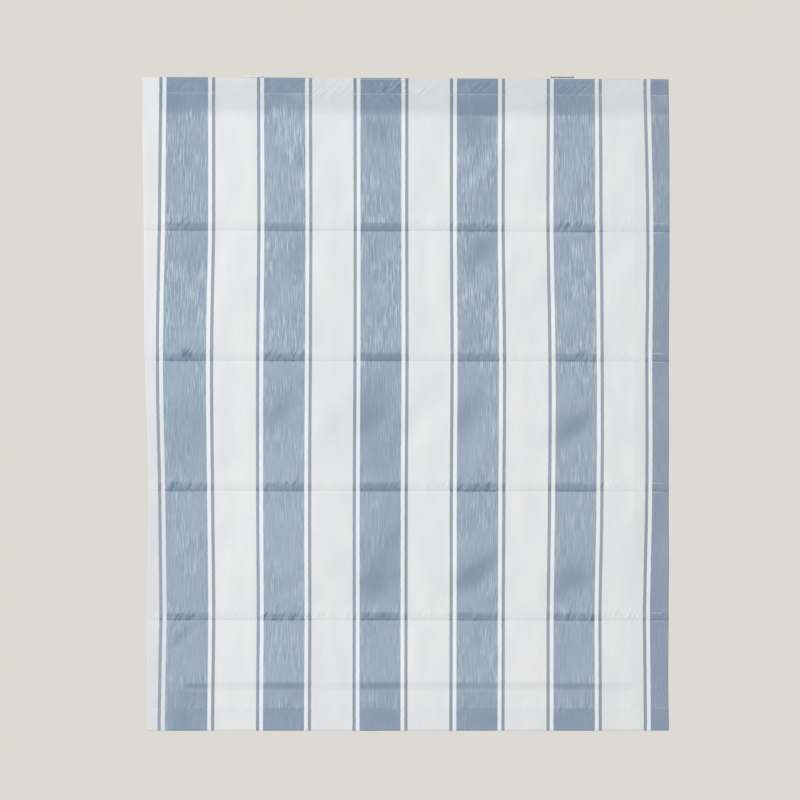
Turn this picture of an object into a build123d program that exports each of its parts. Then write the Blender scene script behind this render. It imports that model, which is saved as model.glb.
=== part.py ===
from build123d import *
import math
import os

# A striped roman blind, let down to its full drop, with a spring lift hidden in its head rail.
# X runs along the head rail to the viewer's right, Y from the room to the window, and Z up.
# The origin is the middle of the screw pattern, level with the top faces of the two brackets.
# All lengths are in millimetres.

# Cloth: one unlined piece with turned hems, a turned header and a hem pocket at the bottom.
cloth_width = 1050.0
cloth_drop = 1306.0
cloth_thickness = 0.8
layer_gap = 0.4
panel_bow = 4.0
band_bow = 1.0
side_hem_width = 76.0
header_depth = 32.0
hem_depth = 46.0
hem_stitch_depth = 1.5
first_rod_drop = 297.0
last_rod_rise = 229.0
rod_count = 4
band_height = 18.0
cloth_lead = 1.0

# Tapes that hold the cloth's header to the head rail.
hook_thickness = 1.5
loop_thickness = 1.5
tape_height = 28.0
tape_inset = 8.0
tape_lead = 1.5

# Stiffening rods, their tips and the tapes that form their pockets.
rod_radius = 2.5
rod_inset = 14.0
tip_radius = 3.0
tip_length = 12.0
tip_end = 2.0
tip_clearance = 0.05
pocket_thickness = 0.8
pocket_flange = 2.0
pocket_inset = 6.0
pocket_play = 0.3

# Lift cords and the rings that guide them.
cord_radius = 0.7
cord_inset = 125.0
cord_clearance = 0.3
ring_hole_radius = 4.5
ring_wire_radius = 1.0
ring_gap = 0.25

# Bottom bar, its end caps and the anchors of the lift cords.
bar_height = 36.0
bar_thickness = 4.0
bar_clearance = 0.3
bar_inset = 12.0
bar_corner = 1.5
bar_wall = 0.9
bar_cap_plate = 2.0
bar_cap_plug = 10.0
bar_cap_clearance = 0.1
anchor_width = 20.0
anchor_height = 16.0
anchor_plate = 1.5
anchor_web = 3.0
anchor_barrel_radius = 3.5
anchor_corner = 2.0
knot_radius = 2.0
knot_gap = 0.2

# Head rail and its end caps.
rail_wall = 1.5
rail_lip = 9.0
rail_corner = 1.2
rail_headroom = 4.5
rail_end_gap = 3.0
cap_plate = 2.5
cap_edge = 0.8
cap_plug_length = 12.0
cap_plug_wall = 1.6
cap_clearance = 0.15

# Soffit brackets, their locking levers and rivets.
bracket_inset = 225.0
bracket_inner = 12.0
bracket_outer = 34.0
bracket_setback = 3.0
bracket_thickness = 2.0
bracket_corner = 4.0
bracket_hook_bite = 6.0
bracket_hook_gap = 0.3
screw_hole_radius = 2.25
screw_spread = 16.0
lever_offset = 20.0
lever_thickness = 1.5
lever_gap = 0.25
lever_width = 9.0
lever_reach = 10.0
lever_hub_radius = 5.0
cam_thickness = 2.0
cam_bite = 4.0
cam_side_gap = 2.0
rivet_radius = 2.0
rivet_head_radius = 3.6
rivet_head_thickness = 1.0
rivet_clearance = 0.06

# Hexagonal drive shaft, its collars and the cord spools.
shaft_flats = 6.0
shaft_clearance = 0.15
shaft_overhang = 12.0
collar_radius = 6.0
collar_length = 7.0
collar_gap = 0.5
drum_radius = 10.0
drum_length = 30.0
cone_length = 4.0
cone_rise = 1.8
feed_lead = 1.5
spool_flange_radius = 13.0
spool_flange = 2.0
spool_rim = 1.5
journal_radius = 6.0
journal_length = 4.0
journal_proud = 0.3
journal_play = 0.3
running_clearance = 0.06
wrap_count = 3

# Cradles that carry the spools and lead the cords through the rail's floor.
cradle_base = 2.0
cradle_foot = 5.0
cradle_rim = 3.0
cradle_fit = 0.3
cradle_corner = 3.0
spool_clearance = 1.0
mouth_share = 0.86
spout_radius = 3.5
spout_bore_radius = 1.8
spout_drop = 1.5
spout_clearance = 0.3

# Spring motor: a strip spring that winds from a storage drum to an output drum.
motor_place_share = 0.475
strip_width = 20.0
strip_thickness = 0.3
strip_play = 0.3
output_core_radius = 6.0
output_coil = 1.8
storage_core_radius = 5.0
storage_coil = 0.8
coil_gap = 0.3
reel_lip = 0.5
reel_flange = 1.2
reel_gap = 0.6
output_journal_radius = 4.6
storage_pin_radius = 1.5
motor_wall = 5.0
motor_play = 0.4
motor_floor = 2.0
motor_skirt = 1.6
motor_lid = 1.6
motor_clearance = 0.8
motor_fit = 0.4
motor_corner = 1.2
motor_screw_radius = 1.0
motor_screw_head_radius = 1.9
motor_screw_head = 1.2
motor_screw_length = 8.0
motor_screw_inset = 2.4
motor_screw_clearance = 0.05

# Cuts run past the faces they open by this much.
overrun = 1.0

# Setbacks from the front face of the head rail, positive towards the window.
flap_back = -hook_thickness - loop_thickness
flap_front = flap_back - cloth_thickness
cloth_back = flap_front - layer_gap
cloth_front = cloth_back - cloth_thickness
pocket_bore = tip_radius + pocket_play
rod_setback = flap_back + pocket_bore
pocket_back = rod_setback + pocket_bore + pocket_thickness
ring_radius = ring_hole_radius + 2 * ring_wire_radius
cord_setback = pocket_back + ring_gap + ring_radius
shaft_setback = cord_setback + cord_radius + cord_clearance + drum_radius
output_radius = output_core_radius + coil_gap + output_coil + reel_lip
storage_radius = storage_core_radius + coil_gap + storage_coil + reel_lip
reel_distance = output_radius + reel_gap + storage_radius
motor_back_inner = shaft_setback + reel_distance + storage_radius + motor_clearance
rail_depth = motor_back_inner + motor_skirt + motor_fit + rail_wall

# The same places in the part's own frame, with the rail's middle at Y zero.
rail_front = -rail_depth / 2
rail_back = rail_depth / 2
flap_back_y = rail_front + flap_back
flap_front_y = rail_front + flap_front
cloth_back_y = rail_front + cloth_back
cloth_front_y = rail_front + cloth_front
rod_y = rail_front + rod_setback
cord_y = rail_front + cord_setback
shaft_y = rail_front + shaft_setback
storage_y = shaft_y + reel_distance

# Heights, from the bracket tops down to the cloth's bottom edge.
lever_top = -bracket_thickness - lever_gap
lever_bottom = lever_top - lever_thickness
rail_top = lever_bottom - lever_gap
lip_under = rail_top - rail_wall
spool_room = cradle_base + spool_clearance + 2 * spool_flange_radius + rail_headroom
rail_floor = lip_under - spool_room
rail_bottom = rail_floor - rail_wall
shaft_z = rail_floor + cradle_base + spool_clearance + spool_flange_radius
cloth_top = rail_top - cloth_lead
header_seam = cloth_top - header_depth
rod_pitch = (cloth_drop - first_rod_drop - last_rod_rise) / (rod_count - 1)
rod_heights = [cloth_top - first_rod_drop - i * rod_pitch for i in range(rod_count)]
cloth_bottom = cloth_top - cloth_drop
hem_seam = cloth_bottom + hem_depth
hem_depth_y = 2 * (cloth_thickness + bar_clearance) + bar_thickness
hem_back_y = cloth_front_y + hem_depth_y
bar_y = cloth_front_y + hem_depth_y / 2
bar_bottom = cloth_bottom + cloth_thickness + bar_clearance
bar_top = bar_bottom + bar_height
anchor_z = (bar_bottom + bar_top) / 2

# Places along the rail.
half_width = cloth_width / 2
cap_face = half_width - rail_end_gap
rail_end = cap_face - cap_plate
cord_reach = half_width - cord_inset
cord_places = [-cord_reach, 0, cord_reach]
bracket_x = half_width - bracket_inset
motor_x = motor_place_share * cord_reach

# Places along one spool, from the point where its cord leaves the drum.
drum_start = -feed_lead
cone_start = drum_start - cone_length
spool_start = cone_start - spool_flange - journal_length
drum_end = drum_start + drum_length
rim_end = drum_end + spool_rim
spool_end = rim_end + journal_length


def block(x, y, z):
    """A box between two places on each axis."""
    box = Box(x[1] - x[0], y[1] - y[0], z[1] - z[0], align=(Align.MIN, Align.MIN, Align.MIN))
    return Pos(x[0], y[0], z[0]) * box


def along(radius, x, y, z):
    """A round bar along X, between two places."""
    bar = Cylinder(radius, x[1] - x[0], align=(Align.CENTER, Align.CENTER, Align.MIN))
    return Pos(x[0], y, z) * Rot(0, 90, 0) * bar


def post(radius, x, y, z):
    """A round bar along Z, between two heights."""
    bar = Cylinder(radius, z[1] - z[0], align=(Align.CENTER, Align.CENTER, Align.MIN))
    return Pos(x, y, z[0]) * bar


def hexagon(flats, x, y, z):
    """A hexagonal bar along X, between two places."""
    section = Pos(y, z) * RegularPolygon(flats / 2, 6, major_radius=False)
    return run(section, x)


def patch(y, z):
    """A rectangle in a section, between two places on each axis."""
    return Pos((y[0] + y[1]) / 2, (z[0] + z[1]) / 2) * Rectangle(y[1] - y[0], z[1] - z[0])


def run(section, x):
    """A section in the Y and Z plane, run along X between two places."""
    return Pos(x[0], 0, 0) * extrude(Plane.YZ * section, amount=x[1] - x[0])


def mirrored(piece):
    """The left-hand copy of a right-hand piece."""
    return mirror(piece, about=Plane.YZ)


# Cloth
def hanging_spans():
    """Each stretch of cloth between two seams, as its top, its bottom and its bow."""
    spans = []
    top = header_seam
    for height in rod_heights:
        spans.append((top, height + band_height / 2, panel_bow))
        spans.append((height + band_height / 2, height - band_height / 2, band_bow))
        top = height - band_height / 2
    spans.append((top, hem_seam, panel_bow))
    return spans


def hanging_line(y):
    """The line of the hanging cloth at one depth: an arc between each pair of seams."""
    return [
        ThreePointArc((y, top), (y - bow, (top + bottom) / 2), (y, bottom))
        for top, bottom, bow in hanging_spans()
    ]


def hanging_sheet(front, back, x):
    """A layer of hanging cloth between two depths, from the header seam to the hem seam."""
    edges = hanging_line(front) + hanging_line(back)
    edges.append(Line((front, header_seam), (back, header_seam)))
    edges.append(Line((front, hem_seam), (back, hem_seam)))
    return run(make_face(edges), x)


def header_fold():
    """The header: the cloth's top edge turned back on itself."""
    outer = patch((cloth_front_y, flap_back_y), (header_seam, cloth_top))
    inner_height = (header_seam - overrun, cloth_top - cloth_thickness)
    inner = patch((cloth_back_y, flap_front_y), inner_height)
    return run(outer - inner, (-half_width, half_width))


def hem_pocket():
    """The bottom hem: the cloth turned up round the bottom bar and stitched to itself."""
    turn = cloth_bottom + hem_depth_y / 2
    stitch = hem_seam - hem_stitch_depth
    inner_back = hem_back_y - cloth_thickness
    inner_bottom = cloth_bottom + cloth_thickness
    outer = [
        Line((cloth_front_y, hem_seam), (cloth_front_y, turn)),
        ThreePointArc((cloth_front_y, turn), (bar_y, cloth_bottom), (hem_back_y, turn)),
        Line((hem_back_y, turn), (hem_back_y, bar_top)),
        Line((hem_back_y, bar_top), (flap_back_y, hem_seam)),
        Line((flap_back_y, hem_seam), (cloth_front_y, hem_seam)),
    ]
    inner = [
        Line((cloth_back_y, stitch), (cloth_back_y, turn)),
        ThreePointArc((cloth_back_y, turn), (bar_y, inner_bottom), (inner_back, turn)),
        Line((inner_back, turn), (inner_back, bar_top)),
        Line((inner_back, bar_top), (flap_front_y, stitch)),
        Line((flap_front_y, stitch), (cloth_back_y, stitch)),
    ]
    return run(make_face(outer) - make_face(inner), (-half_width, half_width))


def striped_cloth():
    fold = half_width - cloth_thickness
    hem_edge = half_width - side_hem_width
    side_hem = hanging_sheet(flap_front_y, flap_back_y, (hem_edge, fold))
    side_hem += hanging_sheet(cloth_front_y, flap_back_y, (fold, half_width))
    cloth = hanging_sheet(cloth_front_y, cloth_back_y, (-fold, fold))
    return cloth + side_hem + mirrored(side_hem) + header_fold() + hem_pocket()


# Tapes at the header
def header_tape(front, back):
    reach = half_width - tape_inset
    top = cloth_top - tape_lead
    return block((-reach, reach), (front, back), (top - tape_height, top))


# Rods and pockets
def tangent_point(centre, radius, point):
    """Where a line from a point above and in front meets the back of a circle."""
    across = point[0] - centre[0]
    up = point[1] - centre[1]
    angle = math.atan2(up, across) - math.acos(radius / math.hypot(across, up))
    return (centre[0] + radius * math.cos(angle), centre[1] + radius * math.sin(angle))


def tent(base_y, radius, height):
    """A section with a straight base, closed by lines that run tangent to a circle round the rod."""
    top = (base_y, height + band_height / 2)
    low = (base_y, height - band_height / 2)
    upper = tangent_point((rod_y, height), radius, top)
    lower = (upper[0], 2 * height - upper[1])
    edges = [
        Line(top, upper),
        ThreePointArc(upper, (rod_y + radius, height), lower),
        Line(lower, low),
        Line(low, top),
    ]
    return make_face(edges)


def rod_pocket(height):
    reach = half_width - pocket_inset
    half_height = band_height / 2 + pocket_flange
    flange_back = flap_back_y + pocket_thickness
    section = patch((flap_back_y, flange_back), (height - half_height, height + half_height))
    section += tent(flange_back, pocket_bore + pocket_thickness, height)
    section -= tent(flap_back_y, pocket_bore, height)
    return run(section, (-reach, reach))


def rib_rod(height):
    reach = half_width - rod_inset
    return along(rod_radius, (-reach, reach), rod_y, height)


def rod_tips(height):
    end = half_width - rod_inset
    tip_face = end + tip_end
    tip = along(tip_radius, (tip_face - tip_length, tip_face), rod_y, height)
    tip -= along(rod_radius + tip_clearance, (tip_face - tip_length - overrun, end), rod_y, height)
    return tip + mirrored(tip)


def cord_rings(height):
    ring = Torus(ring_hole_radius + ring_wire_radius, ring_wire_radius)
    return Part() + [Pos(x, cord_y, height) * ring for x in cord_places]


# Lift cords, their anchors and knots
def lift_cord(x):
    return post(cord_radius, x, cord_y, (anchor_z - anchor_height / 2, shaft_z))


def cord_anchor(x):
    low = anchor_z - anchor_height / 2
    high = anchor_z + anchor_height / 2
    plate_x = (x - anchor_width / 2, x + anchor_width / 2)
    plate = block(plate_x, (hem_back_y, hem_back_y + anchor_plate), (low, high))
    plate = fillet(plate.edges().filter_by(Axis.Y), anchor_corner)
    web = block((x - anchor_web / 2, x + anchor_web / 2), (hem_back_y, cord_y), (low, high))
    barrel = post(anchor_barrel_radius, x, cord_y, (low, high))
    bore = post(cord_radius + cord_clearance, x, cord_y, (low - overrun, high + overrun))
    return plate + web + barrel - bore


def cord_knot(x):
    return Pos(x, cord_y, anchor_z - anchor_height / 2 - knot_gap - knot_radius) * Sphere(knot_radius)


# Bottom bar
def bar_section(inset):
    """The bar's outline, or the same outline drawn in by some depth."""
    section = RectangleRounded(bar_thickness - 2 * inset, bar_height - 2 * inset, bar_corner - inset)
    return Pos(bar_y, anchor_z) * section


def bottom_bar():
    reach = half_width - bar_inset - bar_cap_plate
    return run(bar_section(0) - bar_section(bar_wall), (-reach, reach))


def bar_end_cap():
    cap_end = half_width - bar_inset
    bar_end = cap_end - bar_cap_plate
    plug = run(bar_section(bar_wall + bar_cap_clearance), (bar_end - bar_cap_plug, bar_end))
    return run(bar_section(0), (bar_end, cap_end)) + plug


# Head rail
def rail_outline():
    middle = Pos(0, (rail_top + rail_bottom) / 2)
    return middle * RectangleRounded(rail_depth, rail_top - rail_bottom, rail_corner)


def head_rail():
    inner = patch((rail_front + rail_wall, rail_back - rail_wall), (rail_floor, lip_under))
    mouth_z = (lip_under - overrun, rail_top + overrun)
    mouth = patch((rail_front + rail_lip, rail_back - rail_lip), mouth_z)
    rail = run(rail_outline() - inner - mouth, (-rail_end, rail_end))
    for x in cord_places:
        hole_height = (rail_bottom - overrun, rail_floor + overrun)
        rail -= post(spout_radius + spout_clearance, x, cord_y, hole_height)
    return rail


def end_cap():
    plate = run(rail_outline(), (rail_end, cap_face))
    plate = fillet(plate.faces().sort_by(Axis.X)[-1].edges(), cap_edge)
    plug_y = rail_depth / 2 - rail_wall - cap_clearance
    plug_z = (rail_floor + cap_clearance, lip_under - cap_clearance)
    hollow_z = (plug_z[0] + cap_plug_wall, plug_z[1] - cap_plug_wall)
    plug = patch((-plug_y, plug_y), plug_z)
    plug -= patch((-plug_y + cap_plug_wall, plug_y - cap_plug_wall), hollow_z)
    return plate + run(plug, (rail_end - cap_plug_length, rail_end))


# Brackets and levers
lip_edge = rail_depth / 2 - rail_lip
pivot_x = bracket_x + lever_offset
pivot_y = lip_edge - cam_side_gap - lever_hub_radius
cam_top = lip_under - lever_gap
cam_bottom = cam_top - cam_thickness


def bracket():
    x = (bracket_x - bracket_inner, bracket_x + bracket_outer)
    y = (rail_front + bracket_setback, rail_back - bracket_setback)
    plate = block(x, y, (-bracket_thickness, 0))
    plate = fillet(plate.edges().filter_by(Axis.Z), bracket_corner)
    web_y = -lip_edge + bracket_hook_gap
    tab_z = (cam_bottom, cam_top)
    hook_x = (x[0] + bracket_corner, x[1] - bracket_corner)
    web = block(hook_x, (web_y, web_y + bracket_thickness), (cam_bottom, 0))
    tab = block(hook_x, (-lip_edge - bracket_hook_bite, web_y + bracket_thickness), tab_z)
    whole = plate + web + tab
    for side in (-1, 1):
        hole_y = side * screw_spread / 2
        whole -= post(screw_hole_radius, bracket_x, hole_y, (-bracket_thickness - overrun, overrun))
    rivet_hole_z = (-bracket_thickness - overrun, overrun)
    return whole - post(rivet_radius + rivet_clearance, pivot_x, pivot_y, rivet_hole_z)


def lever_plate(reach, width, z):
    """A flat arm from the lever's pivot towards the window, with a round end."""
    end_y = pivot_y + reach - width / 2
    arm = block((pivot_x - width / 2, pivot_x + width / 2), (pivot_y, end_y), z)
    return arm + post(width / 2, pivot_x, end_y, z)


def bracket_lever():
    handle = rail_back + lever_reach - pivot_y
    nose = lip_edge + cam_bite - pivot_y
    lever = lever_plate(handle, lever_width, (lever_bottom, lever_top))
    lever += lever_plate(nose, lever_width, (cam_bottom, cam_top))
    lever += post(lever_hub_radius, pivot_x, pivot_y, (cam_bottom, lever_top))
    bore_z = (cam_bottom - overrun, lever_top + overrun)
    bore = post(rivet_radius + rivet_clearance, pivot_x, pivot_y, bore_z)
    return lever - bore


def lever_rivet():
    head_top = cam_bottom - lever_gap
    head_z = (head_top - rivet_head_thickness, head_top)
    shank = post(rivet_radius, pivot_x, pivot_y, (head_top, 0))
    return shank + post(rivet_head_radius, pivot_x, pivot_y, head_z)


# Drive shaft and spools
def drive_shaft():
    start = cord_places[0] + spool_start - shaft_overhang
    end = cord_places[-1] + spool_end + shaft_overhang
    return hexagon(shaft_flats, (start, end), shaft_y, shaft_z)


def shaft_bore(x):
    flats = shaft_flats + 2 * shaft_clearance
    return hexagon(flats, (x[0] - overrun, x[1] + overrun), shaft_y, shaft_z)


def shaft_collars():
    left = cord_places[0] + spool_start - collar_gap
    right = cord_places[-1] + spool_end + collar_gap
    places = [(left - collar_length, left), (right, right + collar_length)]
    return Part() + [along(collar_radius, x, shaft_y, shaft_z) - shaft_bore(x) for x in places]


def cord_spool(x):
    outline = [
        (spool_start, 0),
        (spool_start, journal_radius),
        (cone_start - spool_flange, journal_radius),
        (cone_start - spool_flange, spool_flange_radius),
        (cone_start, spool_flange_radius),
        (cone_start, drum_radius + cone_rise),
        (drum_start, drum_radius),
        (drum_end, drum_radius),
        (drum_end, spool_flange_radius),
        (rim_end, spool_flange_radius),
        (rim_end, journal_radius),
        (spool_end, journal_radius),
        (spool_end, 0),
    ]
    turned = revolve(make_face(Polyline(*outline, close=True)), Axis.X)
    spool = Pos(x, shaft_y, shaft_z) * turned
    return spool - shaft_bore((x + spool_start, x + spool_end))


def cord_wraps():
    start = cord_radius + cord_clearance
    length = wrap_count * 2 * cord_radius
    wraps = []
    for x in cord_places:
        ends = (x + start, x + start + length)
        ring = along(drum_radius + 2 * cord_radius, ends, shaft_y, shaft_z)
        wraps.append(ring - along(drum_radius + running_clearance, ends, shaft_y, shaft_z))
    return Part() + wraps


def bearing(radius, x, y):
    """The cut for a journal that snaps into an open bearing from above."""
    mouth = mouth_share * radius
    cut = along(radius + running_clearance, x, y, shaft_z)
    return cut + block(x, (y - mouth, y + mouth), (shaft_z, lip_under))


def spool_cradle(x):
    half_bearing = journal_radius + cradle_rim
    walls = [
        (x + spool_start + journal_proud, x + cone_start - spool_flange - journal_play),
        (x + rim_end + journal_play, x + spool_end - journal_proud),
    ]
    base_top = rail_floor + cradle_base
    base_x = (walls[0][0] - cradle_foot, walls[1][1] + cradle_foot)
    base_y = rail_depth / 2 - rail_wall - cradle_fit
    cradle = block(base_x, (-base_y, base_y), (rail_floor, base_top))
    cradle = fillet(cradle.edges().filter_by(Axis.Z), cradle_corner)
    for wall in walls:
        stand_y = (shaft_y - half_bearing, shaft_y + half_bearing)
        stand = block(wall, stand_y, (base_top, shaft_z)) + along(half_bearing, wall, shaft_y, shaft_z)
        cradle += stand - bearing(journal_radius, wall, shaft_y)
    cradle += post(spout_radius, x, cord_y, (rail_bottom - spout_drop, base_top))
    spout_height = (rail_bottom - spout_drop - overrun, base_top + overrun)
    return cradle - post(spout_bore_radius, x, cord_y, spout_height)


# Spring motor
reel_half = strip_width / 2 + strip_play
flange_face = reel_half + reel_flange
wall_face = flange_face + motor_play
motor_half = wall_face + motor_wall
motor_front_inner = shaft_y - output_radius - motor_clearance
motor_front = motor_front_inner - motor_skirt
motor_back_inner_y = rail_front + motor_back_inner
motor_back = motor_back_inner_y + motor_skirt
motor_floor_top = rail_floor + motor_floor
motor_top = shaft_z + output_radius + motor_clearance
motor_walls = [(motor_x - motor_half, motor_x - wall_face), (motor_x + wall_face, motor_x + motor_half)]
motor_span = (motor_x - motor_half, motor_x + motor_half)


def motor_screw_places():
    reach = motor_half - motor_wall / 2
    fronts = (motor_front_inner + motor_screw_inset, motor_back_inner_y - motor_screw_inset)
    return [(motor_x + side * reach, y) for side in (-1, 1) for y in fronts]


def motor_screw_holes():
    radius = motor_screw_radius + motor_screw_clearance
    bottom = motor_top + motor_lid - motor_screw_length
    height = (bottom, motor_top + motor_lid + overrun)
    return Part() + [post(radius, x, y, height) for x, y in motor_screw_places()]


def motor_base():
    base = block(motor_span, (motor_front, motor_back), (rail_floor, motor_floor_top))
    for wall in motor_walls:
        stand = block(wall, (motor_front_inner, motor_back_inner_y), (motor_floor_top, motor_top))
        stand -= bearing(output_journal_radius, wall, shaft_y)
        base += stand - bearing(storage_pin_radius, wall, storage_y)
    return base - motor_screw_holes()


def motor_cover():
    middle = Pos(motor_x, (motor_front + motor_back) / 2, motor_floor_top)
    outline = RectangleRounded(2 * motor_half, motor_back - motor_front, motor_corner)
    shell = middle * extrude(outline, amount=motor_top + motor_lid - motor_floor_top)
    ends = (motor_span[0] - overrun, motor_span[1] + overrun)
    inside_z = (motor_floor_top - overrun, motor_top)
    inside = block(ends, (motor_front_inner, motor_back_inner_y), inside_z)
    return shell - inside - motor_screw_holes()


def motor_screws():
    seat = motor_top + motor_lid
    screws = []
    for x, y in motor_screw_places():
        shank = post(motor_screw_radius, x, y, (seat - motor_screw_length, seat))
        screws.append(shank + post(motor_screw_head_radius, x, y, (seat, seat + motor_screw_head)))
    return Part() + screws


def reel(core_radius, flange_radius, y):
    """A drum for the spring strip, with a flange at each end."""
    drum = along(core_radius, (motor_x - reel_half, motor_x + reel_half), y, shaft_z)
    for side in (-1, 1):
        ends = sorted((motor_x + side * reel_half, motor_x + side * flange_face))
        drum += along(flange_radius, ends, y, shaft_z)
    return drum


def spring_drum():
    reach = motor_half - journal_proud
    ends = (motor_x - reach, motor_x + reach)
    drum = reel(output_core_radius, output_radius, shaft_y)
    drum += along(output_journal_radius, ends, shaft_y, shaft_z)
    return drum - shaft_bore(ends)


def storage_drum():
    ends = (motor_x - flange_face - overrun, motor_x + flange_face + overrun)
    bore = along(storage_pin_radius + running_clearance, ends, storage_y, shaft_z)
    return reel(storage_core_radius, storage_radius, storage_y) - bore


def storage_pin():
    reach = motor_half - journal_proud
    return along(storage_pin_radius, (motor_x - reach, motor_x + reach), storage_y, shaft_z)


def coil(core_radius, thickness, y):
    inner = core_radius + coil_gap
    return Pos(y, shaft_z) * (Circle(inner + thickness) - Circle(inner))


def power_spring():
    """A coil on each drum, and the strip that crosses from the top of one to the bottom of the other."""
    output_line = output_core_radius + coil_gap + output_coil - strip_thickness / 2
    storage_line = storage_core_radius + coil_gap + storage_coil - strip_thickness / 2
    angle = math.acos((output_line + storage_line) / reel_distance)
    start = Vector(shaft_y + output_line * math.cos(angle), shaft_z + output_line * math.sin(angle))
    end = Vector(storage_y - storage_line * math.cos(angle), shaft_z - storage_line * math.sin(angle))
    middle = (start + end) / 2
    slope = math.degrees(math.atan2(end.Y - start.Y, end.X - start.X))
    strip = Rectangle((end - start).length, strip_thickness)
    section = Pos(middle.X, middle.Y) * Rot(0, 0, slope) * strip
    section += coil(output_core_radius, output_coil, shaft_y)
    section += coil(storage_core_radius, storage_coil, storage_y)
    return run(section, (motor_x - strip_width / 2, motor_x + strip_width / 2))


# Every piece by its name
pieces = {
    "striped_cloth": striped_cloth(),
    "hook_tape": header_tape(rail_front - hook_thickness, rail_front),
    "loop_tape": header_tape(flap_back_y, rail_front - hook_thickness),
    "head_rail": head_rail(),
    "drive_shaft": drive_shaft(),
    "shaft_collars": shaft_collars(),
    "cord_wraps": cord_wraps(),
    "motor_base": motor_base(),
    "motor_cover": motor_cover(),
    "motor_screws": motor_screws(),
    "spring_drum": spring_drum(),
    "storage_drum": storage_drum(),
    "storage_pin": storage_pin(),
    "power_spring": power_spring(),
    "bottom_bar": bottom_bar(),
    "cord_anchors": Part() + [cord_anchor(x) for x in cord_places],
    "cord_knots": Part() + [cord_knot(x) for x in cord_places],
}
right_hand = {
    "end_cap": end_cap(),
    "bracket": bracket(),
    "bracket_lever": bracket_lever(),
    "lever_rivet": lever_rivet(),
    "bar_end_cap": bar_end_cap(),
}
for name, piece in right_hand.items():
    pieces[name + "_right"] = piece
    pieces[name + "_left"] = mirrored(piece)
for place, x in zip(("left", "centre", "right"), cord_places):
    pieces["cord_spool_" + place] = cord_spool(x)
    pieces["spool_cradle_" + place] = spool_cradle(x)
    pieces["lift_cord_" + place] = lift_cord(x)
for number, height in enumerate(rod_heights, start=1):
    pieces[f"rib_rod_{number}"] = rib_rod(height)
    pieces[f"rod_tips_{number}"] = rod_tips(height)
    pieces[f"rod_pocket_{number}"] = rod_pocket(height)
    pieces[f"cord_rings_{number}"] = cord_rings(height)

os.makedirs("parts", exist_ok=True)
for name, piece in pieces.items():
    export_step(piece, f"parts/{name}.step")
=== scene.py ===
import math
from functools import partial

import bpy
import numpy as np
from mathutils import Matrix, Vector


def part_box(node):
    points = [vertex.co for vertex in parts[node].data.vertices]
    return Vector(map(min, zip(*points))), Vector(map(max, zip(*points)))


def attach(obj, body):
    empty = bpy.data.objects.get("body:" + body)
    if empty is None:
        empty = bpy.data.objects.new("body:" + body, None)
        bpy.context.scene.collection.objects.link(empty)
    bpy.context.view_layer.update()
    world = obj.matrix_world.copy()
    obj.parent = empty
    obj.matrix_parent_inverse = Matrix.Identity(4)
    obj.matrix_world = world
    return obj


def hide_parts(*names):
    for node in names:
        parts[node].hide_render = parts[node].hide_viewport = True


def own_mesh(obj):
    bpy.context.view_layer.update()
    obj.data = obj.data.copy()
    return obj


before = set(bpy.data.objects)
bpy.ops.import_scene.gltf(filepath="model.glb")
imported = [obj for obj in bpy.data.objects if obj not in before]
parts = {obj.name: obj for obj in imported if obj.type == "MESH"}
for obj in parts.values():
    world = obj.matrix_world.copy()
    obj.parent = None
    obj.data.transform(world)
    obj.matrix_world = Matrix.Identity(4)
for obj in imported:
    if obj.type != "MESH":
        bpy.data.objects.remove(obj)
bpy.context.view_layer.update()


# Head rail: a channel of extruded aluminium, open at the top, with a white powder coat baked on.
# Its two lips hang on the brackets, and the fine orange peel is the powder's own.
def linear(red, green, blue):
    """A colour written from 0 to 255, made linear for a shader's socket."""
    shares = [tone / 255 for tone in (red, green, blue)]
    return [s / 12.92 if s <= 0.04045 else ((s + 0.055) / 1.055) ** 2.4 for s in shares] + [1.0]


def blank_finish(name, settings):
    """A new finish with the plain settings of its shader, and its tree and shader."""
    material = bpy.data.materials.new(name)
    material.use_nodes = True
    shader = material.node_tree.nodes["Principled BSDF"]
    for socket, value in settings.items():
        shader.inputs[socket].default_value = value
    return material, material.node_tree, shader


def noise_in(tree, place, scale, detail):
    """Noise over a finish, so fine to the metre."""
    noise = tree.nodes.new("ShaderNodeTexNoise")
    noise.inputs["Scale"].default_value = scale
    noise.inputs["Detail"].default_value = detail
    tree.links.new(place, noise.inputs["Vector"])
    return noise.outputs[0]


def ranged(tree, value, start, end, low, high):
    """An even change from low to high as a value goes from start to end."""
    step = tree.nodes.new("ShaderNodeMapRange")
    for socket, number in (("From Min", start), ("From Max", end), ("To Min", low), ("To Max", high)):
        step.inputs[socket].default_value = number
    tree.links.new(value, step.inputs["Value"])
    return step.outputs[0]


def raised(tree, shader, height, distance):
    """Relief on a finish, from a height and the metres that it stands for."""
    bump = tree.nodes.new("ShaderNodeBump")
    bump.inputs["Distance"].default_value = distance
    tree.links.new(height, bump.inputs["Height"])
    tree.links.new(bump.outputs["Normal"], shader.inputs["Normal"])
    return bump


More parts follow.
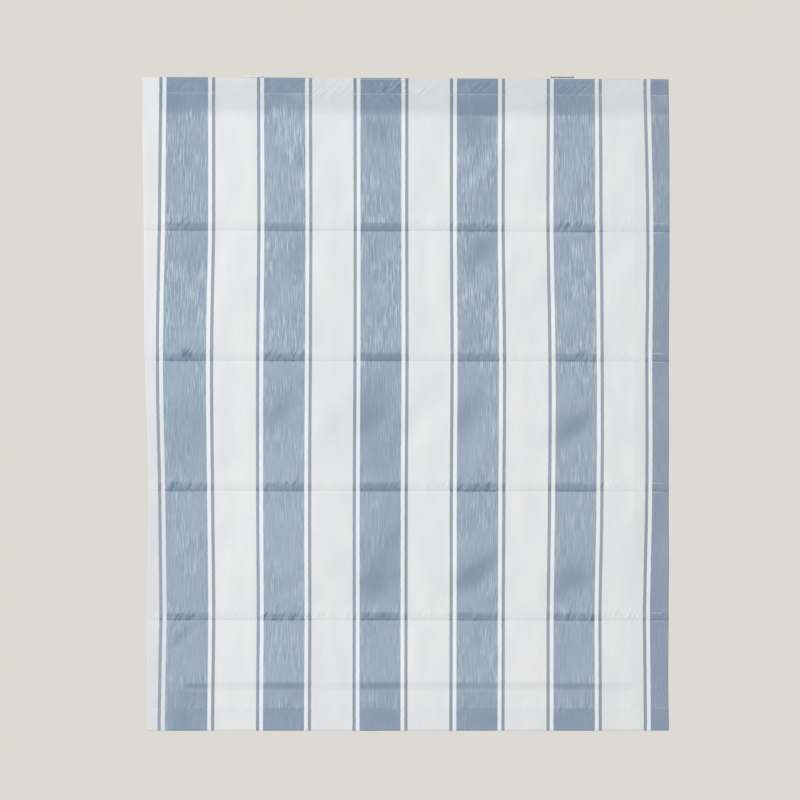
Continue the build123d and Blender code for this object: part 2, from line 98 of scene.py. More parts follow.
def rigid_finish(name, tones, grain, roughness, relief, stretch=(1, 1, 1), metallic=0.0):
    """A rigid finish: tone and relief follow one grain, and smudges vary the gloss."""
    material, tree, shader = blank_finish(name, {"Metallic": metallic})
    place = tree.nodes.new("ShaderNodeTexCoord")
    drawn = tree.nodes.new("ShaderNodeMapping")
    drawn.inputs["Scale"].default_value = stretch
    tree.links.new(place.outputs["Object"], drawn.inputs["Vector"])
    speck = noise_in(tree, drawn.outputs["Vector"], grain, 4)
    tone = tree.nodes.new("ShaderNodeValToRGB")
    for stop, position, colour in zip(tone.color_ramp.elements, (0.34, 0.66), tones):
        stop.position = position
        stop.color = linear(*colour)
    tree.links.new(speck, tone.inputs["Fac"])
    tree.links.new(tone.outputs["Color"], shader.inputs["Base Color"])
    smudge = noise_in(tree, drawn.outputs["Vector"], grain / 24, 3)
    tree.links.new(ranged(tree, smudge, 0.3, 0.7, *roughness), shader.inputs["Roughness"])
    raised(tree, shader, speck, relief)
    return material


def dress(material, *names):
    """Puts a finish on rigid parts."""
    for name in names:
        for place in parts[name].material_slots:
            place.material = material


powder_coat = rigid_finish(
    "powder_coat", [(226, 226, 223), (236, 236, 233)], grain=900, roughness=(0.36, 0.5), relief=0.00006)
dress(powder_coat, "head_rail")


# Rail end caps: moulded polypropylene plugs that close the two ends of the rail.
# They press into the channel, and have the satin face and faint flow marks of the mould.
moulded_cap = rigid_finish(
    "moulded_cap", [(218, 219, 217), (230, 231, 229)], grain=420, stretch=(1, 1, 0.25),
    roughness=(0.42, 0.58), relief=0.00003)
dress(moulded_cap, "end_cap_left", "end_cap_right")


# Soffit brackets, levers and rivets: plates of pressed steel, plated with zinc and screwed overhead.
# A rivet holds each nylon lever, which turns under the rail's lip to lock it. The zinc sets in spangles.
def cells(tree, per_metre):
    """Small cells all over a finish, so many to the metre."""
    place = tree.nodes.new("ShaderNodeTexCoord")
    pattern = tree.nodes.new("ShaderNodeTexVoronoi")
    pattern.inputs["Scale"].default_value = per_metre
    tree.links.new(place.outputs["Object"], pattern.inputs["Vector"])
    return pattern.outputs


plated_gloss = (0.46, 0.64)
zinc = rigid_finish(
    "zinc_plate", [(176, 178, 180), (202, 204, 206)], grain=260, roughness=plated_gloss,
    relief=0.00002, metallic=1.0)
spangles = cells(zinc.node_tree, 340)
zinc.node_tree.links.new(
    ranged(zinc.node_tree, spangles["Color"], 0, 1, *plated_gloss),
    zinc.node_tree.nodes["Principled BSDF"].inputs["Roughness"])
dress(zinc, "bracket_left", "bracket_right")
lever_nylon = rigid_finish(
    "lever_nylon", [(206, 208, 209), (218, 220, 221)], grain=500, roughness=(0.38, 0.52), relief=0.00004)
dress(lever_nylon, "bracket_lever_left", "bracket_lever_right")
bright_steel = rigid_finish(
    "bright_steel", [(168, 170, 173), (196, 197, 199)], grain=700, stretch=(0.06, 1, 1),
    roughness=(0.2, 0.34), relief=0.00001, metallic=1.0)
dress(bright_steel, "lever_rivet_left", "lever_rivet_right")


# Drive: a hexagonal steel shaft along the rail, with a moulded acetal spool over each lift cord.
# The spools turn in nylon cradles that snap to the rail's floor, and collars keep the shaft in place.
sides = ("left", "centre", "right")
acetal = rigid_finish(
    "acetal", [(172, 174, 176), (184, 186, 188)], grain=300, stretch=(0.3, 1, 1),
    roughness=(0.3, 0.42), relief=0.00002)
acetal.node_tree.nodes["Principled BSDF"].inputs["Subsurface Weight"].default_value = 0.08
acetal.node_tree.nodes["Principled BSDF"].inputs["Subsurface Scale"].default_value = 0.002
dress(acetal, *[f"cord_spool_{side}" for side in sides])
cradle_nylon = rigid_finish(
    "cradle_nylon", [(196, 198, 199), (208, 210, 211)], grain=380, stretch=(1, 1, 0.4),
    roughness=(0.4, 0.54), relief=0.00004)
dress(cradle_nylon, *[f"spool_cradle_{side}" for side in sides])
dress(bright_steel, "drive_shaft", "shaft_collars")


# Spring motor: a strip of blued spring steel that winds from a storage drum to a drum on the shaft.
# It sits in a moulded case with a screwed lid, and balances the weight of the cloth and the bottom bar.
motor_case = rigid_finish(
    "motor_case", [(92, 95, 99), (106, 109, 113)], grain=800, roughness=(0.46, 0.6), relief=0.00008)
dress(motor_case, "motor_base", "motor_cover")
dress(acetal, "spring_drum", "storage_drum")
blued_spring = rigid_finish(
    "blued_spring", [(62, 70, 86), (84, 92, 108)], grain=420, stretch=(1, 0.12, 0.12),
    roughness=(0.24, 0.4), relief=0.00001, metallic=1.0)
dress(blued_spring, "power_spring")
dress(bright_steel, "motor_screws", "storage_pin")


# Header tapes: a woven strip of nylon hooks stuck to the rail's face, and a strip of loops on the cloth.
# Each is a thin ground with a bare selvedge along both edges and a raised pile between them.
def reckon(tree, operation, *values):
    """One step of arithmetic in a finish, on sockets or plain numbers."""
    step = tree.nodes.new("ShaderNodeMath")
    step.operation = operation
    for socket, value in zip(step.inputs, values):
        if isinstance(value, (int, float)):
            socket.default_value = value
        else:
            tree.links.new(value, socket)
    return step.outputs[0]


def eased(tree, value, start, end, low, high):
    """The change that ranged makes, but smooth at both ends."""
    step = ranged(tree, value, start, end, low, high)
    step.node.interpolation_type = "SMOOTHSTEP"
    return step


def mingled(tree, share, first, second):
    """Two colours mixed by a share, each a colour or a socket."""
    step = tree.nodes.new("ShaderNodeMix")
    step.data_type = "RGBA"
    tree.links.new(share, step.inputs[0])
    for socket, colour in ((step.inputs[6], first), (step.inputs[7], second)):
        if isinstance(colour, list):
            socket.default_value = colour
        else:
            tree.links.new(colour, socket)
    return step.outputs[2]


def select_only(piece):
    """Makes one piece the whole selection."""
    bpy.ops.object.select_all(action="DESELECT")
    piece.select_set(True)
    bpy.context.view_layer.objects.active = piece


tape_ground = 0.0005
tape_selvedge = 0.0016
tape_rounding = 0.0002
pile_clearance = 0.00002


def header_strip(name, pile_side):
    """One strip of tape in the place of its solid, with its pile to the back, 1, or to the front, -1."""
    low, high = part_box(name)
    bpy.ops.object.select_all(action="DESELECT")
    bpy.ops.mesh.primitive_cube_add(size=1)
    strip = bpy.context.object
    strip.name = name + "_woven"
    ground_y = low.y + tape_ground / 2 if pile_side > 0 else high.y - tape_ground / 2
    bpy.ops.transform.resize(value=(high.x - low.x, tape_ground, high.z - low.z))
    bpy.ops.transform.translate(value=(0, ground_y, (low.z + high.z) / 2))
    bpy.ops.object.transform_apply(location=True, rotation=True, scale=True)
    bpy.ops.object.mode_set(mode="EDIT")
    bpy.ops.mesh.select_all(action="DESELECT")
    bpy.ops.object.mode_set(mode="OBJECT")
    for face in strip.data.polygons:
        face.select = face.normal.y * pile_side > 0.9
    bpy.ops.object.mode_set(mode="EDIT")
    bpy.ops.mesh.select_mode(type="FACE")
    bpy.ops.mesh.inset(thickness=tape_selvedge)
    pile_height = high.y - low.y - tape_ground - pile_clearance
    bpy.ops.mesh.extrude_region_move(TRANSFORM_OT_translate={"value": (0, pile_side * pile_height, 0)})
    bpy.ops.mesh.select_all(action="SELECT")
    bpy.ops.mesh.bevel(offset=tape_rounding, segments=2)
    bpy.ops.object.mode_set(mode="OBJECT")
    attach(strip, "headrail")
    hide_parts(name)
    return strip


pile, pile_tree, pile_shader = blank_finish("nylon_pile", {"Roughness": 0.86, "Sheen Weight": 0.25})
pile_depth = cells(pile_tree, 1500)["Distance"]
pile_tree.links.new(
    mingled(pile_tree, pile_depth, linear(232, 232, 230), linear(198, 199, 199)),
    pile_shader.inputs["Base Color"])
raised(pile_tree, pile_shader, pile_depth, 0.0003).invert = True
for strip in (header_strip("hook_tape", -1), header_strip("loop_tape", 1)):
    strip.data.materials.append(pile)


# Striped cloth: one width of unlined cotton, with wide and narrow blue stripes woven along the drop.
# Its side hems turn back first, then header and hem, and four bands are sewn to pockets for the rods.
# It hangs as it was sewn: it bellies forward between the seams, and thread gathers each seam a little.
cloth_low, cloth_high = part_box("striped_cloth")
rod_heights = [sum(corner.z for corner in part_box(f"rod_pocket_{i}")) / 2 for i in range(1, 5)]
flap_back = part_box("rod_pocket_1")[0].y
cloth_thickness = 0.0008
woven_body = 0.0007
fold_radius = 0.0006
flap_y = flap_back - cloth_thickness / 2
front_y = flap_y - 2 * fold_radius
band_half = 0.009
header_seam = cloth_high.z - 0.032
hem_seam = cloth_low.z + 0.046
crease_rises = (0.0012, 0.0012, 0.0012, 0.0028)
creases = [height - band_half + rise for height, rise in zip(rod_heights, crease_rises)]
seam_rows = [(header_seam, 0.0004), (hem_seam, 0.0002)] + [(crease, 0.0001) for crease in creases]
panel_bellies = (0.0023, 0.002, 0.0028, 0.0034, 0.0034)
pucker_height = 0.0014
drag_strength = 1.8

# Where the hems were turned, from the top down: the left edge wanders, the right is nearly straight.
edge_drops = np.array([0.005, 0.15, 0.289, 0.569, 0.729, 1.009, 1.089, 1.2, 1.311])
left_edges = np.array([-0.531, -0.530, -0.528, -0.526, -0.520, -0.520, -0.522, -0.521, -0.520])
right_edges = np.array([0.5225, 0.5240, 0.5245, 0.5230, 0.5230, 0.5228, 0.5225, 0.5215, 0.5235])

# How far the stripes wander sideways, one row for each place across and one number for each seam.
drift_places = np.array([-0.492, -0.440, -0.247, -0.053, 0.141, 0.334, 0.476])
drift_drops = np.array([0.033, 0.302, 0.562, 0.822, 1.082, 1.291])
drifts = np.array([
    [-0.0009, -0.0040, -0.0078, -0.0036, -0.0008, -0.0045],
    [0.0004, 0.0000, -0.0048, -0.0020, 0.0010, -0.0016],
    [0.0010, 0.0020, 0.0006, -0.0006, 0.0000, -0.0012],
    [-0.0002, -0.0002, -0.0002, -0.0016, -0.0022, -0.0022],
    [-0.0006, -0.0012, 0.0008, -0.0008, -0.0012, -0.0018],
    [-0.0006, -0.0014, 0.0032, 0.0028, -0.0010, -0.0010],
    [-0.0010, 0.0046, 0.0026, 0.0026, -0.0020, -0.0002],
])

# Each gathered seam: its height, its puckers' reach, lean and spacing, how strong they are at least,
# and how much stronger they are by place across.
header_middle = (cloth_high.z + header_seam) / 2
gathers = [
    (header_middle - 0.006, 0.020, 0.9, 0.0150, 0.08,
     [(-0.53, 0.05), (-0.40, 0.08), (-0.36, 0.2), (-0.30, 0.1), (-0.205, 0.15), (-0.19, 0.75),
      (-0.13, 0.6), (-0.10, 0.15), (-0.065, 0.15), (-0.05, 0.9), (-0.012, 1.1), (0.0, 0.5), (0.03, 0.7),
      (0.06, 0.15), (0.10, 0.15), (0.14, 0.4), (0.18, 0.15), (0.28, 0.1), (0.32, 0.35), (0.36, 0.35),
      (0.40, 0.1), (0.53, 0.1)]),
    (rod_heights[0] + 0.005, 0.012, 0.35, 0.0085, 0.08,
     [(-0.53, 0.0), (-0.495, 0.1), (-0.48, 1.1), (-0.45, 0.8), (-0.41, 0.15), (-0.38, 0.05),
      (-0.30, 0.05), (-0.28, 0.2), (-0.10, 0.2), (0.06, 0.2), (0.10, 0.45), (0.16, 0.65), (0.19, 0.4),
      (0.21, 0.2), (0.28, 0.2), (0.31, 0.8), (0.375, 0.8), (0.40, 0.3), (0.43, 0.3), (0.48, 0.1),
      (0.53, 0.1)]),
    (rod_heights[1] + 0.005, 0.012, 0.45, 0.0095, 0.08,
     [(-0.53, 0.05), (-0.495, 0.2), (-0.48, 1.2), (-0.41, 1.1), (-0.39, 0.1), (-0.30, 0.05),
      (-0.285, 0.9), (-0.215, 0.9), (-0.20, 0.05), (-0.11, 0.05), (-0.09, 0.3), (0.0, 0.2), (0.10, 0.3),
      (0.17, 0.55), (0.20, 0.2), (0.29, 0.25), (0.37, 0.8), (0.40, 0.3), (0.43, 0.3), (0.48, 0.1),
      (0.53, 0.1)]),
    (rod_heights[2] + 0.004, 0.011, 0.30, 0.0090, 0.08,
     [(-0.53, 0.05), (-0.495, 0.2), (-0.48, 0.9), (-0.42, 0.8), (-0.395, 0.05), (-0.30, 0.05),
      (-0.28, 0.4), (-0.22, 0.9), (-0.20, 0.05), (-0.11, 0.05), (-0.09, 0.25), (0.0, 0.2), (0.05, 0.4),
      (0.10, 0.9), (0.14, 1.2), (0.18, 1.0), (0.20, 0.15), (0.28, 0.1), (0.33, 0.4), (0.43, 0.4),
      (0.48, 0.1), (0.53, 0.1)]),
    (rod_heights[3] + 0.003, 0.012, 0.55, 0.0100, 0.12,
     [(-0.53, 0.1), (-0.495, 0.2), (-0.48, 0.6), (-0.42, 0.6), (-0.395, 0.3), (-0.305, 0.35),
      (-0.285, 1.4), (-0.21, 1.4), (-0.195, 0.4), (-0.11, 0.3), (-0.09, 0.5), (0.0, 0.25), (0.14, 0.35),
      (0.28, 0.25), (0.33, 0.5), (0.375, 1.1), (0.39, 0.7), (0.45, 0.7), (0.48, 0.1), (0.53, 0.1)]),
    (hem_seam, 0.008, 0.20, 0.0080, 0.02,
     [(-0.53, 0.1), (-0.44, 0.3), (-0.24, 0.4), (-0.05, 0.2), (0.14, 0.15), (0.33, 0.3), (0.53, 0.1)]),
]

# Soft drags and hollows between seams: place across, drop, half length, half width, slope and height.
drags = [
    (-0.465, 0.070, 0.045, 0.030, 70, -0.0007), (0.145, 0.213, 0.080, 0.016, 58, 0.0022),
    (-0.055, 0.105, 0.035, 0.032, 0, -0.0016), (0.140, 0.108, 0.045, 0.036, 60, -0.0021),
    (-0.050, 1.015, 0.045, 0.030, 20, -0.0015), (0.335, 1.005, 0.050, 0.036, 20, -0.0018),
    (0.126, 1.004, 0.050, 0.022, 35, -0.0017), (-0.250, 1.020, 0.045, 0.024, 20, -0.0011),
    (0.335, 0.221, 0.075, 0.016, 52, 0.0022), (-0.230, 0.160, 0.080, 0.020, 74, 0.0007),
    (0.129, 0.359, 0.065, 0.024, 45, -0.0013), (0.158, 0.419, 0.075, 0.020, 50, 0.0012),
    (-0.225, 0.373, 0.050, 0.024, 70, -0.0011), (0.345, 0.430, 0.080, 0.022, 60, 0.0008),
    (0.125, 0.674, 0.058, 0.026, 60, -0.0019), (0.165, 0.729, 0.080, 0.020, 54, 0.0012),
    (0.335, 0.698, 0.058, 0.024, 40, -0.0027), (0.335, 0.629, 0.075, 0.018, 44, 0.0010),
    (-0.065, 0.685, 0.058, 0.024, 40, -0.0015), (-0.265, 0.678, 0.060, 0.022, 55, -0.0016),
    (-0.125, 0.685, 0.080, 0.022, 50, -0.0010), (0.035, 0.665, 0.085, 0.024, 50, -0.0010),
    (-0.045, 0.960, 0.090, 0.022, 62, -0.0009), (0.141, 0.989, 0.080, 0.022, 35, -0.0011),
    (0.155, 1.031, 0.075, 0.018, 40, 0.0011), (0.335, 1.001, 0.050, 0.0025, 0, 0.0003),
    (-0.459, 1.109, 0.020, 0.0035, 50, 0.0012), (-0.440, 1.112, 0.022, 0.0035, 46, 0.0012),
    (-0.446, 1.117, 0.040, 0.0075, 44, -0.0022), (-0.470, 1.108, 0.018, 0.0035, 52, -0.0012),
    (-0.474, 1.120, 0.018, 0.0040, 56, 0.0006), (0.161, 1.173, 0.075, 0.020, 50, 0.0009),
    (0.020, 1.140, 0.055, 0.020, 80, 0.0008), (-0.445, 1.185, 0.050, 0.035, 0, 0.0012),
]

# Where the stay tape lies behind the lowest panel. The faint band it makes on the front is a painted
# shadow.
stay_top = -1.2125
stay_bottom = -1.2285
stay_left = -0.456
stay_right = 0.446


def table_at(value, places, numbers):
    """A smooth line through a short table."""
    slopes = np.gradient(numbers, places)
    k = np.clip(np.searchsorted(places, value) - 1, 0, len(places) - 2)
    span = places[k + 1] - places[k]
    t = np.clip((value - places[k]) / span, 0, 1)
    start = numbers[k] * (1 + 2 * t) * (1 - t) ** 2 + slopes[k] * span * t * (1 - t) ** 2
    return start + numbers[k + 1] * t * t * (3 - 2 * t) - slopes[k + 1] * span * t * t * (1 - t)


def hills(x, z, size, seed):
    """Smooth hills and hollows of one size, from -1 to 1, the same on each run."""
    heights = np.random.RandomState(seed).uniform(-1, 1, (97, 97))
    across = x / size + 40
    down = z / size + 40
    i = np.floor(across).astype(int)
    j = np.floor(down).astype(int)
    a = across - i
    b = down - j
    a = a * a * (3 - 2 * a)
    b = b * b * (3 - 2 * b)
    upper = heights[i % 97, j % 97] * (1 - a) + heights[(i + 1) % 97, j % 97] * a
    lower = heights[i % 97, (j + 1) % 97] * (1 - a) + heights[(i + 1) % 97, (j + 1) % 97] * a
    return upper * (1 - b) + lower * b


def gather_wave(x, z, height, lean, spacing, seed):
    """The puckers of one seam: uneven ridges that lean across it, some of them forked."""
    slanted = x - lean * (z - height)
    crossed = x + 0.6 * lean * (z - height)
    uneven = 3.6 * hills(slanted, 0 * z, 0.027, seed) + 1.8 * hills(slanted, 0 * z, 0.010, seed + 50)
    ridge = (0.5 + 0.5 * np.sin(2 * math.pi * slanted / spacing + uneven)) ** 1.5
    swirl = 3 * hills(crossed, 0 * z, 0.018, seed + 80)
    fork = 0.5 + 0.5 * np.sin(2 * math.pi * crossed / (1.7 * spacing) + swirl)
    size = 0.7 + 0.6 * hills(x, z / 2, 0.013, seed + 90)
    return size * (0.7 * ridge + 0.3 * fork)


def gathered(x, z):
    """For each gathered seam: how strong it is across, how near it is, and its wave."""
    for seed, (height, reach, lean, spacing, least, strengths) in enumerate(gathers):
        strength = least + np.interp(x, *zip(*strengths))
        near = np.exp(-(((z - height) / reach) ** 2))
        yield strength, near, gather_wave(x, z, height, lean, spacing, seed)


def puckers(x, z):
    """How far the puckers of all the gathered seams stand forward."""
    return sum(pucker_height * strength * near * wave for strength, near, wave in gathered(x, z))


def belly(x, z):
    """How far the hung cloth stands forward of its seams, before its drags and puckers."""
    forward = np.full_like(x, 0.0004)
    ends = [header_seam]
    for height, crease in zip(rod_heights, creases):
        ends += [height + band_half, crease]
    ends.append(hem_seam)
    for count, (top, bottom) in enumerate(zip(ends, ends[1:])):
        t = np.clip((top - z) / (top - bottom), 0, 1)
        if count % 2 == 0:
            uneven = 1 + 0.35 * hills(x, z, 0.17, 20 + count) + 0.15 * hills(x, z, 0.06, 30 + count)
            forward += panel_bellies[count // 2] * np.sin(math.pi * t) ** 0.9 * uneven
        else:
            rise = np.clip(t / 0.7, 0, 1)
            fall = np.clip((1 - t) / 0.055, 0, 1)
            forward += 0.0005 * rise * rise * (3 - 2 * rise) * np.sqrt(fall)
    return forward


def drag_relief(x, z):
    """The drags and hollows between the seams, which die away at each seam and on the bands."""
    forward = 0.0006 * hills(0.77 * x - 0.64 * z, (0.64 * x + 0.77 * z) / 3, 0.045, 7)
    for place, drop, length, width, slope, height in drags:
        turn = math.radians(slope)
        along = (x - place) * math.cos(turn) + (z + drop) * math.sin(turn)
        beside = (z + drop) * math.cos(turn) - (x - place) * math.sin(turn)
        forward += height * np.exp(-((along / length) ** 2) - (beside / width) ** 2)
    forward += 0.0005 * hills(x, z / 5, 0.035, 8)
    calm = np.ones_like(x)
    for row, _ in seam_rows:
        calm *= 1 - np.exp(-(((z - row) / 0.014) ** 2))
    for height in rod_heights:
        calm *= 1 - np.exp(-(((z - height - band_half) / 0.014) ** 2))
        calm = np.where(abs(z - height) < band_half, 0, calm)
    return forward * calm


def relief(x, z):
    """How far the front of the hung cloth stands forward of its seams."""
    forward = belly(x, z) + drag_strength * drag_relief(x, z) + puckers(x, z)
    for row, groove in seam_rows:
        forward -= groove * np.exp(-(((z - row) / 0.0014) ** 2))
    return np.maximum(forward, 0)


def slack(x, z):
    """How far the layers behind the front stand forward: with its belly and hollows, not its puckers."""
    hollows = drag_strength * np.minimum(drag_relief(x, z), 0)
    return np.maximum(belly(x, z) + hollows - woven_body, 0)


def layers(x, z):
    """Painted shade: how much the blue darkens and the white greys where layers lie behind the front and
    block the light from behind. Hollows between the seams get painted shade too, and bulges painted
    light.
    Then how gathered the cloth is, and how near a crease."""
    # Painted shade in the hollows between the seams, and painted light on the bulges.
    painted_hollow_shade = -drag_relief(x, z) / 0.0033
    painted_shade_blue = painted_hollow_shade + np.interp(
        x, [-0.44, -0.25, -0.15, 0.0, 0.14, 0.33, 0.45], [0.27, 0.02, 0.20, 0.22, 0.2, 0.04, 0.18])
    # Painted shade over the hem, from the stay tape down.
    below_stay = np.clip((stay_bottom + 0.0025 - z) / 0.01, 0, 1)
    painted_shade_blue += np.interp(x, [-0.485, -0.478], [0.02, 0.24]) * below_stay
    painted_shade_white = 0.6 * painted_hollow_shade + np.interp(
        x, [-0.49, -0.345, -0.15, 0.045, 0.24, 0.43], [0.2, 0.0, 0.2, 0.02, 0.0, 0.1])

    # Painted shade on the header, and on its turned-in edge below the seam.
    edge = header_seam - 0.0405 + 0.003 * hills(x, 0 * z, 0.06, 3)
    crisp = np.clip((z - edge) / np.interp(x, [-0.30, -0.02, 0.10], [0.032, 0.022, 0.009]) + 0.5, 0, 1)
    soft = np.clip((z - edge) / 0.024 + 0.5, 0, 1)
    left_light = np.interp(x, [-0.50, -0.47], [0.35, 1])
    places = [-0.53, -0.33, -0.22, -0.12, -0.06, 0.0, 0.14, 0.33, 0.53]
    turned_edge_shade = np.interp(x, places, [1.0, 1.05, 0.55, 1.15, 1.5, 1.35, 1.3, 0.75, 0.6])
    turned_edge_shade = turned_edge_shade + 0.34 * hills(x, z, 0.024, 4)
    header_top_shade = np.interp(x, places, [1.0, 1.15, 1.05, 1.25, 1.8, 1.75, 1.25, 0.95, 0.85])
    header_top_shade = header_top_shade + 0.14 * hills(x, z, 0.020, 6)
    above = z > header_seam
    painted_shade_zones = [
        (np.where(above, 1, 0), (header_top_shade, 0.16)),
        (crisp, (turned_edge_shade, 0)),
        (soft * left_light * np.where(above, 0.82, 1), (0, 1.12 + 0.16 * hills(x, z, 0.024, 5)))]

    # Painted shade on the bands, which end in a jagged edge above and in a crease below.
    seams = list(gathered(x, z))
    dimple_shades = np.zeros_like(x)
    for height, crease, (strength, _, wave) in zip(rod_heights, creases, seams[1:5]):
        jagged = height + band_half + 0.004 + 0.005 * strength * (wave - 0.4)
        inside = np.clip((jagged - z) / (jagged - crease), 0, 1) * np.where(z > crease - 0.0002, 1, 0)
        blue_shade = np.interp(inside, [0, 0.15, 0.35, 0.55, 0.85, 1], [0, 0.22, 0.68, 0.92, 1.14, 1.26])
        uneven = np.interp(x, places, [1.0, 1.0, 0.95, 1.2, 1.45, 1.3, 1.08, 0.98, 0.88])
        uneven = uneven + 0.1 * hills(x, z, 0.03, 6)
        # A painted shadow along the crease under each band.
        near = np.exp(-(((z - crease) / 0.0014) ** 2))
        # Painted shade for dark dots in the dimples where the thread pulls in at the crease.
        dimple_shades += (0.1 + strength) * np.exp(-(((z - crease) / 0.0022) ** 2))
        white_shade = np.interp(inside, [0, 0.2, 0.5, 1], [0, 0.16, 0.42, 0.52])
        painted_shade_zones += [(uneven, (blue_shade, white_shade)), (near, (1.5, 0.1))]

    # Painted shade where the hem with the bar in it blocks the light from behind, and the painted shadow
    # of the stay tape.
    bar_shadow = np.clip((hem_seam + 0.0006 - z) / 0.0012, 0, 1) * np.interp(x, [-0.485, -0.478], [0.35, 1])
    painted_shade_zones.append((bar_shadow, (0.72 + 0.1 * hills(x, z, 0.03, 7), 0.3)))
    sag = z + 0.0012 * hills(x, 0 * z, 0.16, 8)
    stay = np.clip((stay_top + 0.002 - sag) / 0.0065, 0, 1)
    stay = stay * np.clip((sag - stay_bottom + 0.005) / 0.0110, 0, 1)
    stay = stay * np.clip((x - stay_left + 0.008) / 0.025, 0, 1)
    stay = stay * np.clip((stay_right + 0.006 - x) / 0.004, 0, 1)
    stay_shadow_tone = np.interp(x, [-0.45, -0.25, -0.06, 0.06, 0.14, 0.33], [0.82, 0.9, 1.1, 0.85, 0.66, 0.9])
    painted_shade_zones.append((stay, (stay_shadow_tone + 0.14 * hills(x, z, 0.05, 9), 0.66)))
    for share, (blue_shade, white_shade) in painted_shade_zones:
        painted_shade_blue = np.maximum(painted_shade_blue, share * blue_shade)
        painted_shade_white = np.maximum(painted_shade_white, share * white_shade)
    return painted_shade_blue, painted_shade_white, sum(strength * near for strength, near, _ in seams), dimple_shades


def drift(x, z):
    """How far the stripes have wandered sideways at a place."""
    wander = np.zeros_like(x)
    for k in range(len(drift_places)):
        share = np.interp(x, drift_places, np.eye(len(drift_places))[k])
        wander += share * table_at(-z, drift_drops, drifts[k])
    return wander


def tilt(x, z):
    """The seams sink a little towards the right, the upper ones the most."""
    seam_drops = [0.033, 0.302, 0.562, 0.822, 1.082, 1.311]
    sink = np.interp(-z, seam_drops, [0.005, 0.0038, 0.002, 0.0018, 0.001, 0])
    lower = np.interp(-z, [0.033, 0.302, 1.082, 1.311], [0, 0.0007, 0.0005, 0])
    return -sink * x / (2 * cloth_high.x) - lower


def cut_sheet(name, across, down):
    """A flat piece of cloth as a grid, so many spaces across and down."""
    bpy.ops.object.select_all(action="DESELECT")
    bpy.ops.mesh.primitive_grid_add(x_subdivisions=across, y_subdivisions=down, size=1)
    sheet = bpy.context.object
    sheet.name = name
    return sheet


def lay(sheet, points, cut):
    """Moves each point of a flat sheet to its place, and marks its place in the cut on it."""
    grid = sheet.data
    grid.vertices.foreach_set("co", points.ravel())
    corners = np.zeros(len(grid.loops), dtype=np.int32)
    grid.loops.foreach_get("vertex_index", corners)
    grid.uv_layers[0].data.foreach_set("uv", cut.reshape(-1, 2)[corners].ravel())
    grid.update()


# Marks on each stretch: painted shade for the blue and for the white, how gathered it is, and painted
# shade for dark dots by the creases.
tone_marks = ("painted_shade_blue", "painted_shade_white", "gather", "bead")


def hang(sheet, x, y, z, u, v, tones, thickness):
    """Lays a sheet in its place, marks its gathers and the painted shade of its layers on it, and gives
    it body.
    """
    lay(sheet, np.stack([x, y, z], axis=-1), np.stack([u, v], axis=-1))
    for mark, tone in zip(tone_marks, tones):
        sheet.data.attributes.new(mark, "FLOAT", "POINT").data.foreach_set("value", tone.ravel())
    select_only(sheet)
    body = sheet.modifiers.new("body", "SOLIDIFY")
    body.thickness = thickness
    body.offset = 0
    bpy.ops.object.modifier_apply(modifier=body.name)
    bpy.ops.object.shade_smooth_by_angle(angle=math.radians(62))


flap_width = 0.075
fold_room = 0.001
flap_steps = np.linspace(flap_width, 0, 13)[:-1]
fold_turns = np.linspace(math.pi, 0, 6)[:-1]
front_steps = np.linspace(0, 1, 501)


def edges(z):
    """The two side folds of the cloth at each height, and the places across the front between them."""
    left = table_at(-z, edge_drops, left_edges) + fold_room
    right = table_at(-z, edge_drops, right_edges) - fold_room
    return left, right, left + (right - left) * front_steps


def fold_ends(left, right, front, tucks):
    """Places across, and depths, of rows that fold back at both ends and run in behind by the tucks."""
    fold_out = fold_radius * np.sin(fold_turns)
    x = np.hstack([left + tucks, left - fold_out, front, right + fold_out[::-1], right - tucks[::-1]])
    depth = [2 * fold_radius + 0 * tucks, fold_radius * (1 - np.cos(fold_turns))]
    return x, np.hstack(depth + [0 * front_steps] + [d[::-1] for d in depth[::-1]])


def side_to_side(heights):
    """A stretch from flap to flap: places across, depths and cut, one row for each height."""
    z = np.array(heights)[:, None]
    left, right, front = edges(z)
    x, depth = fold_ends(left, right, front, flap_steps)
    left_cut = left - drift(left, z)
    right_cut = right - drift(right, z)
    fold_length = fold_radius * math.pi
    u = np.hstack([
        left_cut - fold_length - flap_steps, left_cut - fold_radius * fold_turns,
        front - drift(front, z),
        right_cut + fold_radius * fold_turns[::-1], right_cut + fold_length + flap_steps[::-1]])
    z = z + 0 * x
    behind = depth / (2 * fold_radius)
    forward = relief(x, z) * (1 - behind) + slack(x, z) * behind
    return x, front_y + depth - forward, z, u


def stretch_of_cloth(name, heights):
    """One stretch of the cloth between two seams, hung at its heights."""
    x, y, z, u = side_to_side(heights)
    sheet = cut_sheet(name, x.shape[1] - 1, x.shape[0] - 1)
    hang(sheet, x, y, z + tilt(x, z), u, cloth_high.z - z, layers(x, z), woven_body)
    return sheet


def panel_heights(top, bottom, extra=()):
    """Rows of a panel, close together near its seams."""
    near = np.array([0, 0.0008, 0.0017, 0.003, 0.0047, 0.0068, 0.0095, 0.013, 0.0175])
    middle = np.linspace(bottom + 0.0175, top - 0.0175, int((top - bottom - 0.035) / 0.0092))
    return sorted({round(h, 6) for h in [*(bottom + near), *middle, *(top - near), *extra]})


# The cloth's own finish: blue and white warp threads, slubs along the drop, a plain weave, and painted
# shade where two layers block the light from behind. The stripes follow the cut, so they turn with each
# fold.
def cut_places(tree):
    """Places across and down the flat cut of a sheet."""
    cut_map = tree.nodes.new("ShaderNodeUVMap")
    cut_map.uv_map = "UVMap"
    place = tree.nodes.new("ShaderNodeSeparateXYZ")
    tree.links.new(cut_map.outputs["UV"], place.inputs["Vector"])
    return place.outputs["X"], place.outputs["Y"]


